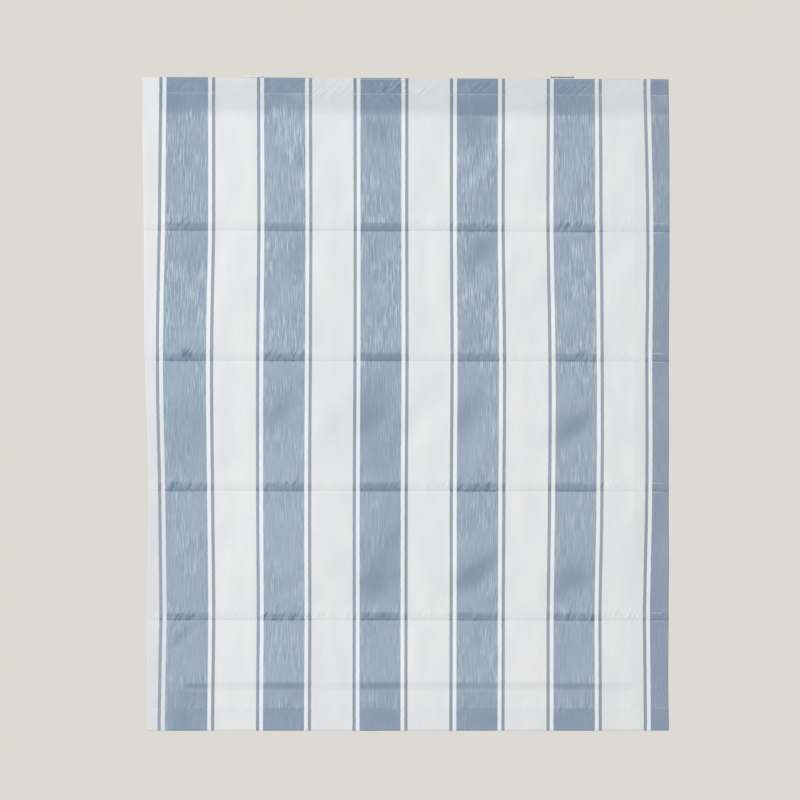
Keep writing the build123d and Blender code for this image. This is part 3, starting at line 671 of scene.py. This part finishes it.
def thread_noise(tree, x, y, per_x, per_y, detail):
    """Noise that is drawn out along the threads, so many features to the metre each way."""
    place = tree.nodes.new("ShaderNodeCombineXYZ")
    tree.links.new(reckon(tree, "MULTIPLY", x, per_x), place.inputs["X"])
    tree.links.new(reckon(tree, "MULTIPLY", y, per_y), place.inputs["Y"])
    return noise_in(tree, place.outputs["Vector"], 1.0, detail)


def thread_wave(tree, place, pitch):
    """A wave with one crest to each pair of threads."""
    return reckon(tree, "SINE", reckon(tree, "MULTIPLY", place, 2 * math.pi / pitch))


striped, weft, cotton = blank_finish("striped_cotton", {
    "Roughness": 0.9, "Specular IOR Level": 0.25, "Sheen Weight": 0.12, "Sheen Roughness": 0.6})
across, down = cut_places(weft)
times = partial(reckon, weft, "MULTIPLY")
plus = partial(reckon, weft, "ADD")
minus = partial(reckon, weft, "SUBTRACT")
larger = partial(reckon, weft, "MAXIMUM")
ease = partial(eased, weft)
mix = partial(mingled, weft)
threads = partial(thread_noise, weft, across, down)

# Stripes: wide blue ones, each with a narrow line on both sides, and edges that waver with the threads.
stripe_repeat = 0.1937
stripe_shift = 0.053
blue_half = 0.041
line_inner = 0.0488
line_outer = 0.0552
dyed_edge = 0.0005
waver = times(minus(threads(60, 90, 2), 0.5), 0.0012)
from_blue = plus(plus(across, stripe_shift), waver)
from_blue = reckon(weft, "WRAP", from_blue, stripe_repeat / 2, -stripe_repeat / 2)
from_blue = reckon(weft, "ABSOLUTE", from_blue)
wide_stripe = ease(from_blue, blue_half - dyed_edge, blue_half + dyed_edge, 1, 0)
wide_gap = ease(from_blue, blue_half - dyed_edge, blue_half + dyed_edge, 0, 1)
line_start = ease(from_blue, line_inner - dyed_edge, line_inner + dyed_edge, 0, 1)
line_end = ease(from_blue, line_outer - dyed_edge, line_outer + dyed_edge, 1, 0)
blue_share = larger(wide_stripe, times(line_start, line_end))

# Painted shade: on the side hems behind the front, and as marked on each stretch. Then the slubs.
marked = {}
for mark in tone_marks:
    reader = weft.nodes.new("ShaderNodeAttribute")
    reader.attribute_name = mark
    marked[mark] = reader.outputs["Fac"]
side_hem = 0.449
hem_soft = 0.0015
hem_left = ease(across, -side_hem - hem_soft, -side_hem + hem_soft, 1, 0)
hem_right = ease(across, side_hem - hem_soft, side_hem + hem_soft, 0, 1)
# Painted shade on the side hems, where two layers block the light from behind.
blue_hem_shade = larger(times(hem_left, 0.22), times(hem_right, ease(down, 0.12, 0.40, 0.04, 0.54)))
white_hem_shade = larger(times(hem_left, ease(down, 0.35, 0.90, 0.10, 0.74)), times(hem_right, 0.32))
painted_shade_blue = larger(blue_hem_shade, marked["painted_shade_blue"])
painted_shade_white = larger(white_hem_shade, marked["painted_shade_white"])
single = times(ease(painted_shade_blue, 0.15, 0.9, 1, 0.25), ease(hem_right, 0, 1, 1, 0.6))
fine_slub = ease(threads(640, 22, 1), 0.42, 0.68, 0, 1)
short_slub = ease(threads(900, 52, 1), 0.42, 0.68, 0, 1)
broad_slub = ease(threads(150, 6, 2), 0.34, 0.68, 0, 1)
slub = plus(plus(times(fine_slub, 0.58), times(short_slub, 0.32)), times(broad_slub, 0.1))
patch = ease(threads(14, 10, 3), 0.36, 0.64, 0, 1)
lively = times(minus(slub, 0.36), ease(patch, 0, 1, 0.6, 2.0))
lively = times(lively, ease(down, 0.50, 0.66, 1, 0.55))
light_thread = times(plus(lively, 0.34), single)

# Puckers at the seams: fine ridges that lean across the gathers, raised, with painted light on them and
# painted shade between them, and dark dots of painted shade where a thread pulls in.
lean = ease(down, 0.036, 0.06, 1.1, 0.5)
leaning = thread_noise(weft, plus(across, times(down, lean)), down, 125, 30, 1)
crossing = thread_noise(weft, minus(across, times(down, 0.4)), down, 110, 44, 1)
ridges = plus(ease(leaning, 0.56, 0.65, 0, 1.2), ease(leaning, 0.34, 0.43, -1, 0))
ridges = plus(ridges, ease(crossing, 0.58, 0.67, 0, 0.7))
pucker = times(ridges, marked["gather"])
# Dark dots of painted shade in the dimples where a thread pulls in.
bead = times(ease(threads(230, 4, 0), 0.46, 0.62, 0, 1), marked["bead"])
painted_shade_blue = minus(plus(painted_shade_blue, times(bead, 1.4)), times(pucker, 1.8))
painted_shade_white = minus(plus(painted_shade_white, times(bead, 0.35)), times(pucker, 0.5))

# Colours: each stripe has its own thread, and the weave lets a little white through.
blue = mix(patch, linear(134, 154, 177), linear(139, 159, 180))
blue = mix(light_thread, blue, linear(192, 207, 221))
# Painted shade turns the blue and the narrow lines darker.
blue = mix(times(painted_shade_blue, 0.31), blue, linear(84, 109, 140))
narrow_blue = mix(times(painted_shade_blue, 0.36), linear(150, 165, 182), linear(90, 110, 134))
cloudy = ease(threads(26, 8, 4), 0.3, 0.7, 0, 1)
white = mix(cloudy, linear(230, 232, 236), linear(237, 238, 239))
white = mix(times(slub, 0.18), white, linear(216, 220, 226))
gap_share = times(ease(from_blue, line_inner - 0.001, line_inner + 0.001, 0.75, 0), wide_gap)
white = mix(gap_share, white, linear(243, 246, 250))
# Painted shade turns the white grey.
white = mix(times(painted_shade_white, 0.72), white, linear(210, 214, 220))
cloth_colour = mix(wide_stripe, mix(blue_share, white, narrow_blue), blue)
warp_pitch = 0.00062
weft_pitch = 0.00070
weave = times(thread_wave(weft, across, warp_pitch), thread_wave(weft, down, weft_pitch))
weave_share = times(plus(weave, 1), 0.05)
weft.links.new(mix(weave_share, cloth_colour, linear(240, 241, 241)), cotton.inputs["Base Color"])
thick_thread = times(slub, ease(blue_share, 0, 1, 0.3, 1.2))
nap = plus(plus(times(weave, 0.35), thick_thread), times(pucker, 6))
raised(weft, cotton, nap, 0.00012).inputs["Strength"].default_value = 0.5


def cloth_piece(sheet, body):
    """Finishes a stretch of the cloth and hangs it from the part that carries it."""
    sheet.data.materials.append(striped)
    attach(sheet, body)
    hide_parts("striped_cloth")


# Header: the top edge turned back on itself, with its sides closed.
crown = cloth_high.z - 0.001
near_seam = [0, 0.0007, 0.0014, 0.0024, 0.0036, 0.005]
header_rise = header_seam + np.array([*near_seam, *np.linspace(0.0072, crown - header_seam, 11)])
crown_turns = np.linspace(0, math.pi, 8)[1:-1]
over_crown = crown + fold_radius * np.sin(crown_turns)
header_z = np.hstack([header_rise, over_crown, header_rise[::-1]])[:, None]
header_depth = np.hstack([
    0 * header_rise, fold_radius * (1 - np.cos(crown_turns)),
    2 * fold_radius + 0 * header_rise])[:, None]
left, right, front = edges(header_z)
end_turns = np.linspace(math.pi / 2, 0, 5)[:-1]
end_out = fold_radius * np.sin(end_turns)
x = np.hstack([left - end_out, front, right + end_out[::-1]])
closing = np.hstack([1 - np.cos(end_turns), 0 * front_steps, 1 - np.cos(end_turns[::-1])])
depth = header_depth + (fold_radius - header_depth) * closing
z = header_z + 0 * x
forward = relief(x, z) * (1 - header_depth / (2 * fold_radius))
unrolled = np.hstack([
    cloth_high.z - header_rise, 0 * crown_turns, header_rise[::-1] - cloth_high.z])[:, None]
header = cut_sheet("cloth_header", x.shape[1] - 1, x.shape[0] - 1)
hang(header, x, front_y + depth - forward, z + tilt(x, z), x - drift(x, z), unrolled + 0 * x,
     layers(x, z + 0.0001), woven_body)
cloth_piece(header, "headrail")

# Bands and panels: each band stays flat on its rod, and each panel rides on what it hangs from.
carriers = ["headrail", "rod_1", "rod_2", "rod_3", "rod_4", "bottom"]
panel_tops = [header_seam] + [height - band_half for height in rod_heights]
panel_bottoms = [height + band_half for height in rod_heights] + [hem_seam]


def shorten(piece, count):
    """Makes a piece of one panel ride on what it hangs from, with a mesh of its own."""
    top, bottom = panel_tops[count], panel_bottoms[count]
    slope = float(tilt(0.5, top) - tilt(-0.5, top) + tilt(0.5, bottom) - tilt(-0.5, bottom)) / 2
    top += float(tilt(0, top))
    bottom += float(tilt(0, bottom))
    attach(piece, carriers[count])
    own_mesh(piece)


turned_edge_rows = panel_tops[0] - np.arange(0.032, 0.050, 0.0025)
stay_rows = np.arange(stay_bottom - 0.006, stay_top + 0.003, 0.002)
for count, (top, bottom) in enumerate(zip(panel_tops, panel_bottoms)):
    extra = {0: turned_edge_rows, 4: stay_rows}.get(count, [])
    panel = stretch_of_cloth(f"cloth_panel_{count + 1}", panel_heights(top, bottom, extra))
    cloth_piece(panel, carriers[count])
    shorten(panel, count)
band_steps = np.array([
    0, 0.0006, 0.0012, 0.0018, 0.0025, 0.0032, 0.0042, 0.006, 0.0085, 0.011, 0.0135, 0.0158, 0.018])
for count, height in enumerate(rod_heights):
    band = stretch_of_cloth(f"cloth_band_{count + 1}", list(height - band_half + band_steps))
    cloth_piece(band, f"rod_{count + 1}")

# Bottom hem: the cloth turned up round the bar as a pocket, with its side hems tucked in at both ends.
turn_z = cloth_low.z + 0.0031
turn_radius = 0.0027
bar_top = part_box("bottom_bar")[1].z
pocket_back = front_y + 2 * turn_radius
turns = np.linspace(math.pi, 0, 12)[1:-1]
front_rise = np.array([
    0, 0.004, 0.009, 0.014, 0.019, 0.024, 0.028, 0.032, 0.0355, 0.0378, 0.0394, 0.0406, 0.0415,
    0.0422, 0.0429])
slant = np.linspace(0, 1, 6)
path_y = np.hstack([
    flap_y + (pocket_back - flap_y) * slant[:-1], np.full(12, pocket_back),
    front_y + turn_radius * (1 - np.cos(turns)), np.full(len(front_rise), front_y)])
path_z = np.hstack([
    hem_seam + (bar_top - hem_seam) * slant[:-1], np.linspace(bar_top, turn_z, 12),
    turn_z - turn_radius * np.sin(turns), turn_z + front_rise * (hem_seam - turn_z) / front_rise[-1]])
step_y = np.gradient(path_y)
step_z = np.gradient(path_z)
step = np.hypot(step_y, step_z)
inward_y = (step_z / step)[:, None]
inward_z = (-step_y / step)[:, None]
in_front = np.clip((front_y + turn_radius - path_y) / turn_radius, 0, 1)[:, None]
path_y = path_y[:, None]
path_z = path_z[:, None]
left, right, front = edges(path_z)
x, depth = fold_ends(left, right, front, np.array([0.003, 0.0015]))
z = path_z + 0 * x
proud = relief(x, z) * in_front + (0.0002 + 0.0002 * hills(x, z, 0.05, 9)) * (1 - in_front)
offset = depth - proud
length = np.cumsum(np.hstack([[0], np.hypot(np.diff(path_y[:, 0]), np.diff(path_z[:, 0]))]))
down_cut = cloth_high.z - hem_seam + (length[-1] - length)[:, None]
hem = cut_sheet("cloth_hem", x.shape[1] - 1, x.shape[0] - 1)
hang(hem, x, path_y + inward_y * offset, z + inward_z * offset + tilt(x, z), x - drift(x, z),
     down_cut + 0 * x, layers(x, z - 0.0001), woven_body)
cloth_piece(hem, "bottom")

# Behind the first panel hangs the rest of the header's turned edge, over the side hems.
turn_half = 0.514
turn_drop = 0.041
x = np.linspace(-turn_half, turn_half, 260)[None, :]
z = np.linspace(header_seam - turn_drop, header_seam, 10)[:, None]
x = x + 0 * z
z = z + 0.0012 * hills(x, 0 * x, 0.05, 12) * (header_seam - z) / turn_drop
depth = 0.0013 + 0.0010 * np.clip((abs(x) - 0.444) / 0.004, 0, 1)
turned = cut_sheet("cloth_header_turn", x.shape[1] - 1, x.shape[0] - 1)
hang(turned, x, front_y + depth - slack(x, z), z + tilt(x, z), x - drift(x, z),
     z - cloth_high.z, (0.5 + 0 * x, 0.5 + 0 * x), woven_body)
cloth_piece(turned, "headrail")
shorten(turned, 0)


# Stay tape: a narrow fusible tape ironed across the back of the lowest panel, between the side hems.
# It keeps the cloth above the bar from curling, and its shadow is painted on the front as a faint band.
stay_thickness = 0.0003
stay_behind = 0.00058
x = np.linspace(stay_left, stay_right, 300)[None, :]
z = np.linspace(stay_bottom, stay_top, 5)[:, None]
x = x + 0 * z
z = z + 0 * x
stay = cut_sheet("stay_tape", x.shape[1] - 1, x.shape[0] - 1)
hang(stay, x, front_y - relief(x, z) + stay_behind, z + tilt(x, z), x, z, (), stay_thickness)


def woven_finish(name, tones, pitch, roughness):
    """A plain woven tape: its threads show as a fine check in tone and relief."""
    material, tree, shader = blank_finish(name, {"Roughness": roughness, "Sheen Weight": 0.15})
    along, beside = cut_places(tree)
    check = reckon(tree, "MULTIPLY", thread_wave(tree, along, pitch), thread_wave(tree, beside, pitch))
    cloudy = thread_noise(tree, along, beside, 60, 400, 3)
    share = reckon(tree, "ADD", reckon(tree, "MULTIPLY", check, 0.25), cloudy)
    colour = mingled(tree, share, linear(*tones[0]), linear(*tones[1]))
    tree.links.new(colour, shader.inputs["Base Color"])
    raised(tree, shader, reckon(tree, "ADD", check, cloudy), 0.00012)
    return material


fusible_tape = woven_finish(
    "fusible_tape", [(214, 216, 218), (232, 233, 234)], pitch=0.0011, roughness=0.8)
stay.data.materials.append(fusible_tape)
shorten(stay, 4)


# Stitches: lockstitch in pale thread, on the front of the header and the back of the bands and the hem.
# The rows on the bands and the hem end in back tacks, which show as bright dashes on the right-hand hem.
pale_thread = rigid_finish(
    "pale_thread", [(222, 226, 230), (236, 240, 244)], grain=3000, stretch=(1, 4, 4),
    roughness=(0.6, 0.75), relief=0.00005)
pale_thread.node_tree.nodes["Principled BSDF"].inputs["Sheen Weight"].default_value = 0.2
bpy.ops.object.select_all(action="DESELECT")
bpy.ops.mesh.primitive_uv_sphere_add(segments=6, ring_count=3, radius=1, rotation=(0, math.pi / 2, 0))
one_stitch = bpy.context.object
bpy.ops.object.transform_apply(location=True, rotation=True, scale=True)
stitch_points = np.array([point.co for point in one_stitch.data.vertices])
stitch_points[:, 1] += 0.9 * stitch_points[:, 0] ** 2
stitch_faces = [list(face.vertices) for face in one_stitch.data.polygons]
bpy.data.objects.remove(one_stitch)


def sewn(name, rows, body):
    """Rows of stitches, each a copy of one stitch along its seam: places, side, length, thickness."""
    points = []
    faces = []
    for places, side, length, radius in rows:
        slopes = np.gradient(places[:, 1], places[:, 0])
        lifts = np.gradient(places[:, 2], places[:, 0])
        for place, slope, rise in zip(places, slopes, lifts):
            base = len(points) * len(stitch_points)
            bead = stitch_points * [length / 2, radius * side, radius * side]
            bead[:, 1] += bead[:, 0] * slope
            bead[:, 2] += bead[:, 0] * rise
            points.append(bead + place)
            faces += [[base + corner for corner in face] for face in stitch_faces]
    mesh = bpy.data.meshes.new(name)
    mesh.from_pydata(np.vstack(points).tolist(), [], faces)
    row = bpy.data.objects.new(name, mesh)
    bpy.context.scene.collection.objects.link(row)
    select_only(row)
    bpy.ops.object.shade_smooth()
    mesh.materials.append(pale_thread)
    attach(row, body)


def front_row(height, start, end, pitch, sink):
    """Places of stitches along the front of the cloth at one height."""
    x = np.arange(start, end, pitch)
    z = np.full_like(x, height)
    y = front_y - relief(x, z) - cloth_thickness / 2 + sink
    return np.stack([x, y, z + tilt(x, z)], axis=-1)


def back_row(height, depth, start, end, pitch):
    """Places of stitches along the back of the cloth at one height and depth."""
    x = np.arange(start, end, pitch)
    z = np.full_like(x, height)
    return np.stack([x, np.full_like(x, depth), z + tilt(x, z)], axis=-1)


# Each kind of stitch: the side of the cloth it shows on, front or back, then its length and thickness.
seam_stitch = (1, 0.0032, 0.00042)
edge_stitch = (1, 0.0030, 0.00026)
proud_stitch = (1, 0.0030, 0.0010)
tack_stitch = (1, 0.0030, 0.0003)
back_stitch = (-1, 0.0034, 0.00022)
header_rows = [
    (front_row(header_seam, -0.524, 0.52, 0.0034, -0.0001), *seam_stitch),
    (front_row(cloth_high.z - 0.0028, -0.526, 0.52, 0.0055, 0.00004), *edge_stitch),
    (front_row(cloth_high.z - 0.0034, -0.096, -0.010, 0.0055, 0), *proud_stitch)]
sewn("header_stitches", header_rows, "headrail")
pocket_flange = flap_back + 0.00086
for count, height in enumerate(rod_heights):
    band_rows = []
    for row in (height + band_half, height - band_half):
        stitches = back_row(row, pocket_flange, -0.515, 0.515, 0.004)
        band_rows.append((stitches, *back_stitch))
    sewn(f"band_stitches_{count + 1}", band_rows, f"rod_{count + 1}")
    tack_rows = []
    for row, start in ((height + band_half - 0.0012, 0.488), (creases[count] - 0.0022, 0.490)):
        for beside in (-0.0003, 0.0004):
            tack = front_row(row + beside, start, start + 0.022, 0.0029, -0.0001)
            tack_rows.append((tack, *tack_stitch))
    sewn(f"back_tacks_{count + 1}", tack_rows, f"rod_{count + 1}")
hem_row = back_row(hem_seam - 0.0008, flap_y + 0.0006, -0.515, 0.519, 0.004)
sewn("hem_stitches", [(hem_row, *back_stitch)], "bottom")
hem_tack = front_row(hem_seam - 0.0002, 0.497, 0.519, 0.0029, -0.0001)
sewn("hem_tack", [(hem_tack, *tack_stitch)], "bottom")


# Rod pockets: flat cotton tapes sewn across the back of the cloth along both edges of each band.
# Each makes a tunnel for its rod, open at both ends, and pulls in a little where the thread holds it.
twill_tape = woven_finish(
    "cotton_tape", [(220, 219, 213), (238, 237, 232)], pitch=0.0010, roughness=0.88)
twill_body = 0.0006
twill_gap = 0.0004
for count, height in enumerate(rod_heights):
    rod_low, rod_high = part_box(f"rib_rod_{count + 1}")
    pocket_low, pocket_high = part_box(f"rod_pocket_{count + 1}")
    rod_y = (rod_low.y + rod_high.y) / 2
    flange_y = flap_back + twill_gap
    tunnel = pocket_high.y - rod_y - twill_gap
    across_tape = flange_y - rod_y
    turn = math.atan2(band_half, across_tape) - math.acos(tunnel / math.hypot(across_tape, band_half))
    arc = np.linspace(turn, -turn, 11)
    touch = np.array([rod_y + tunnel * math.cos(turn), tunnel * math.sin(turn)])
    held = np.array([flange_y, band_half])
    upper = held + (touch - held) * np.linspace(0, 1, 7)[:, None]
    flange = np.array([[flange_y, 0.0110], [flange_y, 0.0104], [flange_y, 0.0097]])
    bend = np.stack([rod_y + tunnel * np.cos(arc), tunnel * np.sin(arc)], axis=-1)[1:-1]
    section = np.vstack([flange, upper, bend, upper[::-1] * [1, -1], flange[::-1] * [1, -1]])[::-1]
    x = np.linspace(pocket_low.x, pocket_high.x, 170)[None, :] + 0 * section[:, :1]
    y = section[:, :1] + 0 * x
    z = height + section[:, 1:] + 0 * x
    loose = np.clip(1 - abs(abs(section[:, 1:]) - 0.006) / 0.0028, 0, 1)
    y = y + 0.00035 * loose * (1 + hills(x, z, 0.016, 60 + count))
    z = z + np.sign(section[:, 1:]) * 0.0003 * hills(x, 0 * x, 0.02, 70 + count)
    length = np.cumsum(np.hstack([[0], np.hypot(*np.diff(section, axis=0).T)]))[:, None] + 0 * x
    pocket = cut_sheet(f"pocket_tape_{count + 1}", x.shape[1] - 1, x.shape[0] - 1)
    hang(pocket, x, y, z, x, length, (), twill_body)
    pocket.data.materials.append(twill_tape)
    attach(pocket, f"rod_{count + 1}")
    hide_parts(f"rod_pocket_{count + 1}")


# Rods, tips and rings: pultruded glass-fibre rods with moulded tips, and brass rings for the lift cords.
# Each ring is sewn to the back of its pocket with four loops of thread.
def joined(pieces, name):
    """Several pieces of one kind made into one."""
    bpy.ops.object.select_all(action="DESELECT")
    for piece in pieces:
        piece.select_set(True)
    bpy.context.view_layer.objects.active = pieces[0]
    bpy.ops.object.join()
    whole = bpy.context.object
    whole.name = name
    return whole


glass_rod = rigid_finish(
    "glass_fibre", [(214, 218, 212), (232, 235, 230)], grain=1200, stretch=(0.02, 1, 1),
    roughness=(0.3, 0.44), relief=0.00002)
tip_nylon = rigid_finish(
    "tip_nylon", [(204, 206, 206), (220, 222, 222)], grain=400, roughness=(0.36, 0.5), relief=0.00003)
brass = rigid_finish(
    "brass", [(176, 146, 88), (204, 174, 110)], grain=900, roughness=(0.2, 0.36), relief=0.00001,
    metallic=1.0)
cord_boxes = [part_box(f"lift_cord_{side}") for side in sides]
cord_x = [(low.x + high.x) / 2 for low, high in cord_boxes]
cord_y = (cord_boxes[0][0].y + cord_boxes[0][1].y) / 2
loop_radius = 0.00128
loop_thread = 0.0002
for count, height in enumerate(rod_heights):
    dress(glass_rod, f"rib_rod_{count + 1}")
    dress(tip_nylon, f"rod_tips_{count + 1}")
    dress(brass, f"cord_rings_{count + 1}")
    ring_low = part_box(f"cord_rings_{count + 1}")[0]
    loops = []
    for place in cord_x:
        for shift, lean in ((-0.0013, -0.25), (-0.0005, 0.1), (0.0004, -0.1), (0.0012, 0.2)):
            bpy.ops.object.select_all(action="DESELECT")
            bpy.ops.mesh.primitive_torus_add(
                major_segments=14, minor_segments=6, major_radius=loop_radius, minor_radius=loop_thread,
                location=(place + shift, ring_low.y + 0.00085, height), rotation=(0, math.pi / 2, lean))
            bpy.ops.transform.resize(value=(1, 1.15, 1))
            bpy.ops.object.transform_apply(location=True, rotation=True, scale=True)
            loops.append(bpy.context.object)
    ring_thread = joined(loops, f"ring_thread_{count + 1}")
    bpy.ops.object.shade_smooth()
    ring_thread.data.materials.append(pale_thread)
    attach(ring_thread, f"rod_{count + 1}")


# Lift cords: three braided polyester cords, from anchors on the hem up through the rings to the spools.
# Three turns stay wound on each spool at full drop, and a knot under each anchor takes the load.
braid, braid_tree, braid_shader = blank_finish("braided_cord", {"Roughness": 0.7, "Sheen Weight": 0.2})
around, along = cut_places(braid_tree)
strand_pitch = 0.0019
round_turn = reckon(braid_tree, "MULTIPLY", around, 8 * math.pi)
along_turn = reckon(braid_tree, "MULTIPLY", along, 2 * math.pi / strand_pitch)
strands = reckon(
    braid_tree, "MAXIMUM",
    reckon(braid_tree, "SINE", reckon(braid_tree, "ADD", round_turn, along_turn)),
    reckon(braid_tree, "SINE", reckon(braid_tree, "SUBTRACT", round_turn, along_turn)))
strand_share = eased(braid_tree, strands, -0.3, 1, 0, 1)
braid_tree.links.new(
    mingled(braid_tree, strand_share, linear(196, 198, 200), linear(238, 239, 239)),
    braid_shader.inputs["Base Color"])
raised(braid_tree, braid_shader, strands, 0.00015)


def cord_along(name, path, radius, facets):
    """A round cord rolled from a flat grid along a line of points, with its ends drawn in."""
    path = np.array(path, float)
    ahead = np.gradient(path, axis=0)
    ahead /= np.linalg.norm(ahead, axis=1)[:, None]
    across_first = np.cross(ahead[0], [0.3, 0.9, 0.2])
    sideways = [across_first / np.linalg.norm(across_first)]
    for direction in ahead[1:]:
        turned_side = sideways[-1] - direction * np.dot(sideways[-1], direction)
        sideways.append(turned_side / np.linalg.norm(turned_side))
    sideways = np.array(sideways)
    upright = np.cross(ahead, sideways)
    turns = np.linspace(0, 2 * math.pi, facets + 1)
    size = np.full(len(path), radius)
    size[[0, -1]] = radius * 0.35
    outward = np.cos(turns)[None, :, None] * sideways[:, None, :]
    outward = outward + np.sin(turns)[None, :, None] * upright[:, None, :]
    length = np.cumsum(np.hstack([[0], np.linalg.norm(np.diff(path, axis=0), axis=1)]))[:, None]
    cut = np.stack([turns / (2 * math.pi) + 0 * length, length + 0 * turns], axis=-1)
    cord = cut_sheet(name, facets, len(path) - 1)
    lay(cord, path[:, None, :] + size[:, None, None] * outward, cut)
    bpy.ops.object.mode_set(mode="EDIT")
    bpy.ops.mesh.select_all(action="SELECT")
    bpy.ops.mesh.remove_doubles(threshold=0.00001)
    bpy.ops.object.mode_set(mode="OBJECT")
    bpy.ops.object.shade_smooth()
    cord.data.materials.append(braid)
    return cord


cord_radius = 0.0007
turns_left = 3
wound_width = 0.0028
shaft_low, shaft_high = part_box("drive_shaft")
shaft_y = (shaft_low.y + shaft_high.y) / 2
shaft_z = (shaft_low.z + shaft_high.z) / 2
wind_radius = shaft_y - cord_y - 0.00024
whole_wind = 2 * turns_left * math.pi
wraps = []
for side, place, (cord_low, cord_high) in zip(sides, cord_x, cord_boxes):
    line = [(place, cord_y, height) for height in np.linspace(cord_low.z, cord_high.z, 220)]
    lift_cord = cord_along(f"lift_cord_braid_{side}", line, cord_radius, 10)
    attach(lift_cord, "headrail")
    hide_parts(f"lift_cord_{side}")
    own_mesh(lift_cord)
    helix = []
    for angle in np.linspace(0, whole_wind, 170):
        helix.append((
            place + 0.0017 + wound_width * angle / whole_wind,
            shaft_y - wind_radius * math.cos(angle), shaft_z + wind_radius * math.sin(angle)))
    wraps.append(cord_along(f"cord_turns_{side}", helix, cord_radius, 8))
cord_turns = joined(wraps, "cord_turns")
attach(cord_turns, "drive")
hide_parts("cord_wraps")

knot_low, knot_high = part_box("cord_knots")
knot_z = (knot_low.z + knot_high.z) / 2
knot_size = 0.00043
knot_rise = 0.00095
knot_radius = 0.00062
knots = []
for place in cord_x:
    loop = []
    for angle in np.linspace(0, 2 * math.pi, 90):
        loop.append((
            place + knot_size * (math.sin(angle) + 2 * math.sin(2 * angle)),
            cord_y + knot_size * (math.cos(angle) - 2 * math.cos(2 * angle)),
            knot_z - knot_rise * math.sin(3 * angle)))
    knots.append(cord_along(f"cord_knot_{place:.1f}", loop, knot_radius, 8))
cord_knots = joined(knots, "cord_knots_tied")
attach(cord_knots, "bottom")
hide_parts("cord_knots")


# Bottom bar, end caps and cord anchors: a flat hollow bar of mill-finish aluminium that weights the hem.
# Moulded caps close its ends, and moulded anchors on the back of the hem hold the lift cords.
mill_aluminium = rigid_finish(
    "mill_aluminium", [(176, 178, 181), (196, 198, 200)], grain=900, stretch=(0.015, 1, 1),
    roughness=(0.3, 0.42), relief=0.00001, metallic=1.0)
dress(mill_aluminium, "bottom_bar")
bar_cap = rigid_finish(
    "bar_cap", [(210, 212, 212), (224, 225, 225)], grain=420, roughness=(0.4, 0.55), relief=0.00003)
dress(bar_cap, "bar_end_cap_left", "bar_end_cap_right")
anchor_nylon = rigid_finish(
    "anchor_nylon", [(214, 216, 216), (228, 229, 229)], grain=380, stretch=(1, 1, 0.4),
    roughness=(0.36, 0.5), relief=0.00003)
dress(anchor_nylon, "cord_anchors")


# Stage: a plain pale floor well below the blind, a soft key from the upper left, a dim fill from behind.
# The pale surround is the world's own colour, and the camera looks straight at the cloth.
bpy.ops.object.select_all(action="DESELECT")
bpy.ops.mesh.primitive_plane_add(size=1, location=(0, -1.0, -1.75))
floor = bpy.context.object
floor.name = "floor"
bpy.ops.transform.resize(value=(7, 5, 1))
bpy.ops.object.transform_apply(location=True, rotation=True, scale=True)
floor_paint = rigid_finish(
    "floor_paint", [(232, 229, 223), (236, 233, 227)], grain=6, roughness=(0.8, 0.9), relief=0.0001)
floor.data.materials.append(floor_paint)


def soft_lamp(place, size, power, tilt_down, swing):
    """A round lamp with a soft edge, turned by so many degrees."""
    bpy.ops.object.light_add(type="AREA", location=place)
    lamp = bpy.context.object
    lamp.data.shape = "DISK"
    lamp.data.size = size
    lamp.data.energy = power
    lamp.rotation_euler = (math.radians(tilt_down), 0, math.radians(swing))


soft_lamp(place=(-4.75, -8.5, 3.5), size=3.6, power=715, tilt_down=67, swing=-29)
soft_lamp(place=(1.7, 2.8, 0.6), size=2.0, power=40, tilt_down=68, swing=149)

surround = bpy.data.worlds.new("surround")
bpy.context.scene.world = surround
surround.use_nodes = True
sky = surround.node_tree
sky.nodes["Background"].inputs["Color"].default_value = (1, 1, 1, 1)
sky.nodes["Background"].inputs["Strength"].default_value = 0.358
shown = sky.nodes.new("ShaderNodeBackground")
shown.inputs["Color"].default_value = linear(221, 218, 211)
ray = sky.nodes.new("ShaderNodeLightPath")
seen = reckon(sky, "MAXIMUM", ray.outputs["Is Camera Ray"],
              reckon(sky, "MAXIMUM", ray.outputs["Is Glossy Ray"], ray.outputs["Is Transmission Ray"]))
choice = sky.nodes.new("ShaderNodeMixShader")
sky.links.new(seen, choice.inputs[0])
sky.links.new(sky.nodes["Background"].outputs[0], choice.inputs[1])
sky.links.new(shown.outputs[0], choice.inputs[2])
sky.links.new(choice.outputs[0], sky.nodes["World Output"].inputs["Surface"])

eye_distance = 4.5
view_width = 1.6
sensor_width = 36
eye = (-0.015, front_y - 0.002 - eye_distance, -0.649)
bpy.ops.object.camera_add(location=eye, rotation=(math.pi / 2, 0, 0))
camera = bpy.context.object
camera.data.sensor_width = sensor_width
camera.data.lens = sensor_width * eye_distance / view_width
bpy.context.scene.camera = camera
bpy.context.scene.view_settings.view_transform = "Standard"
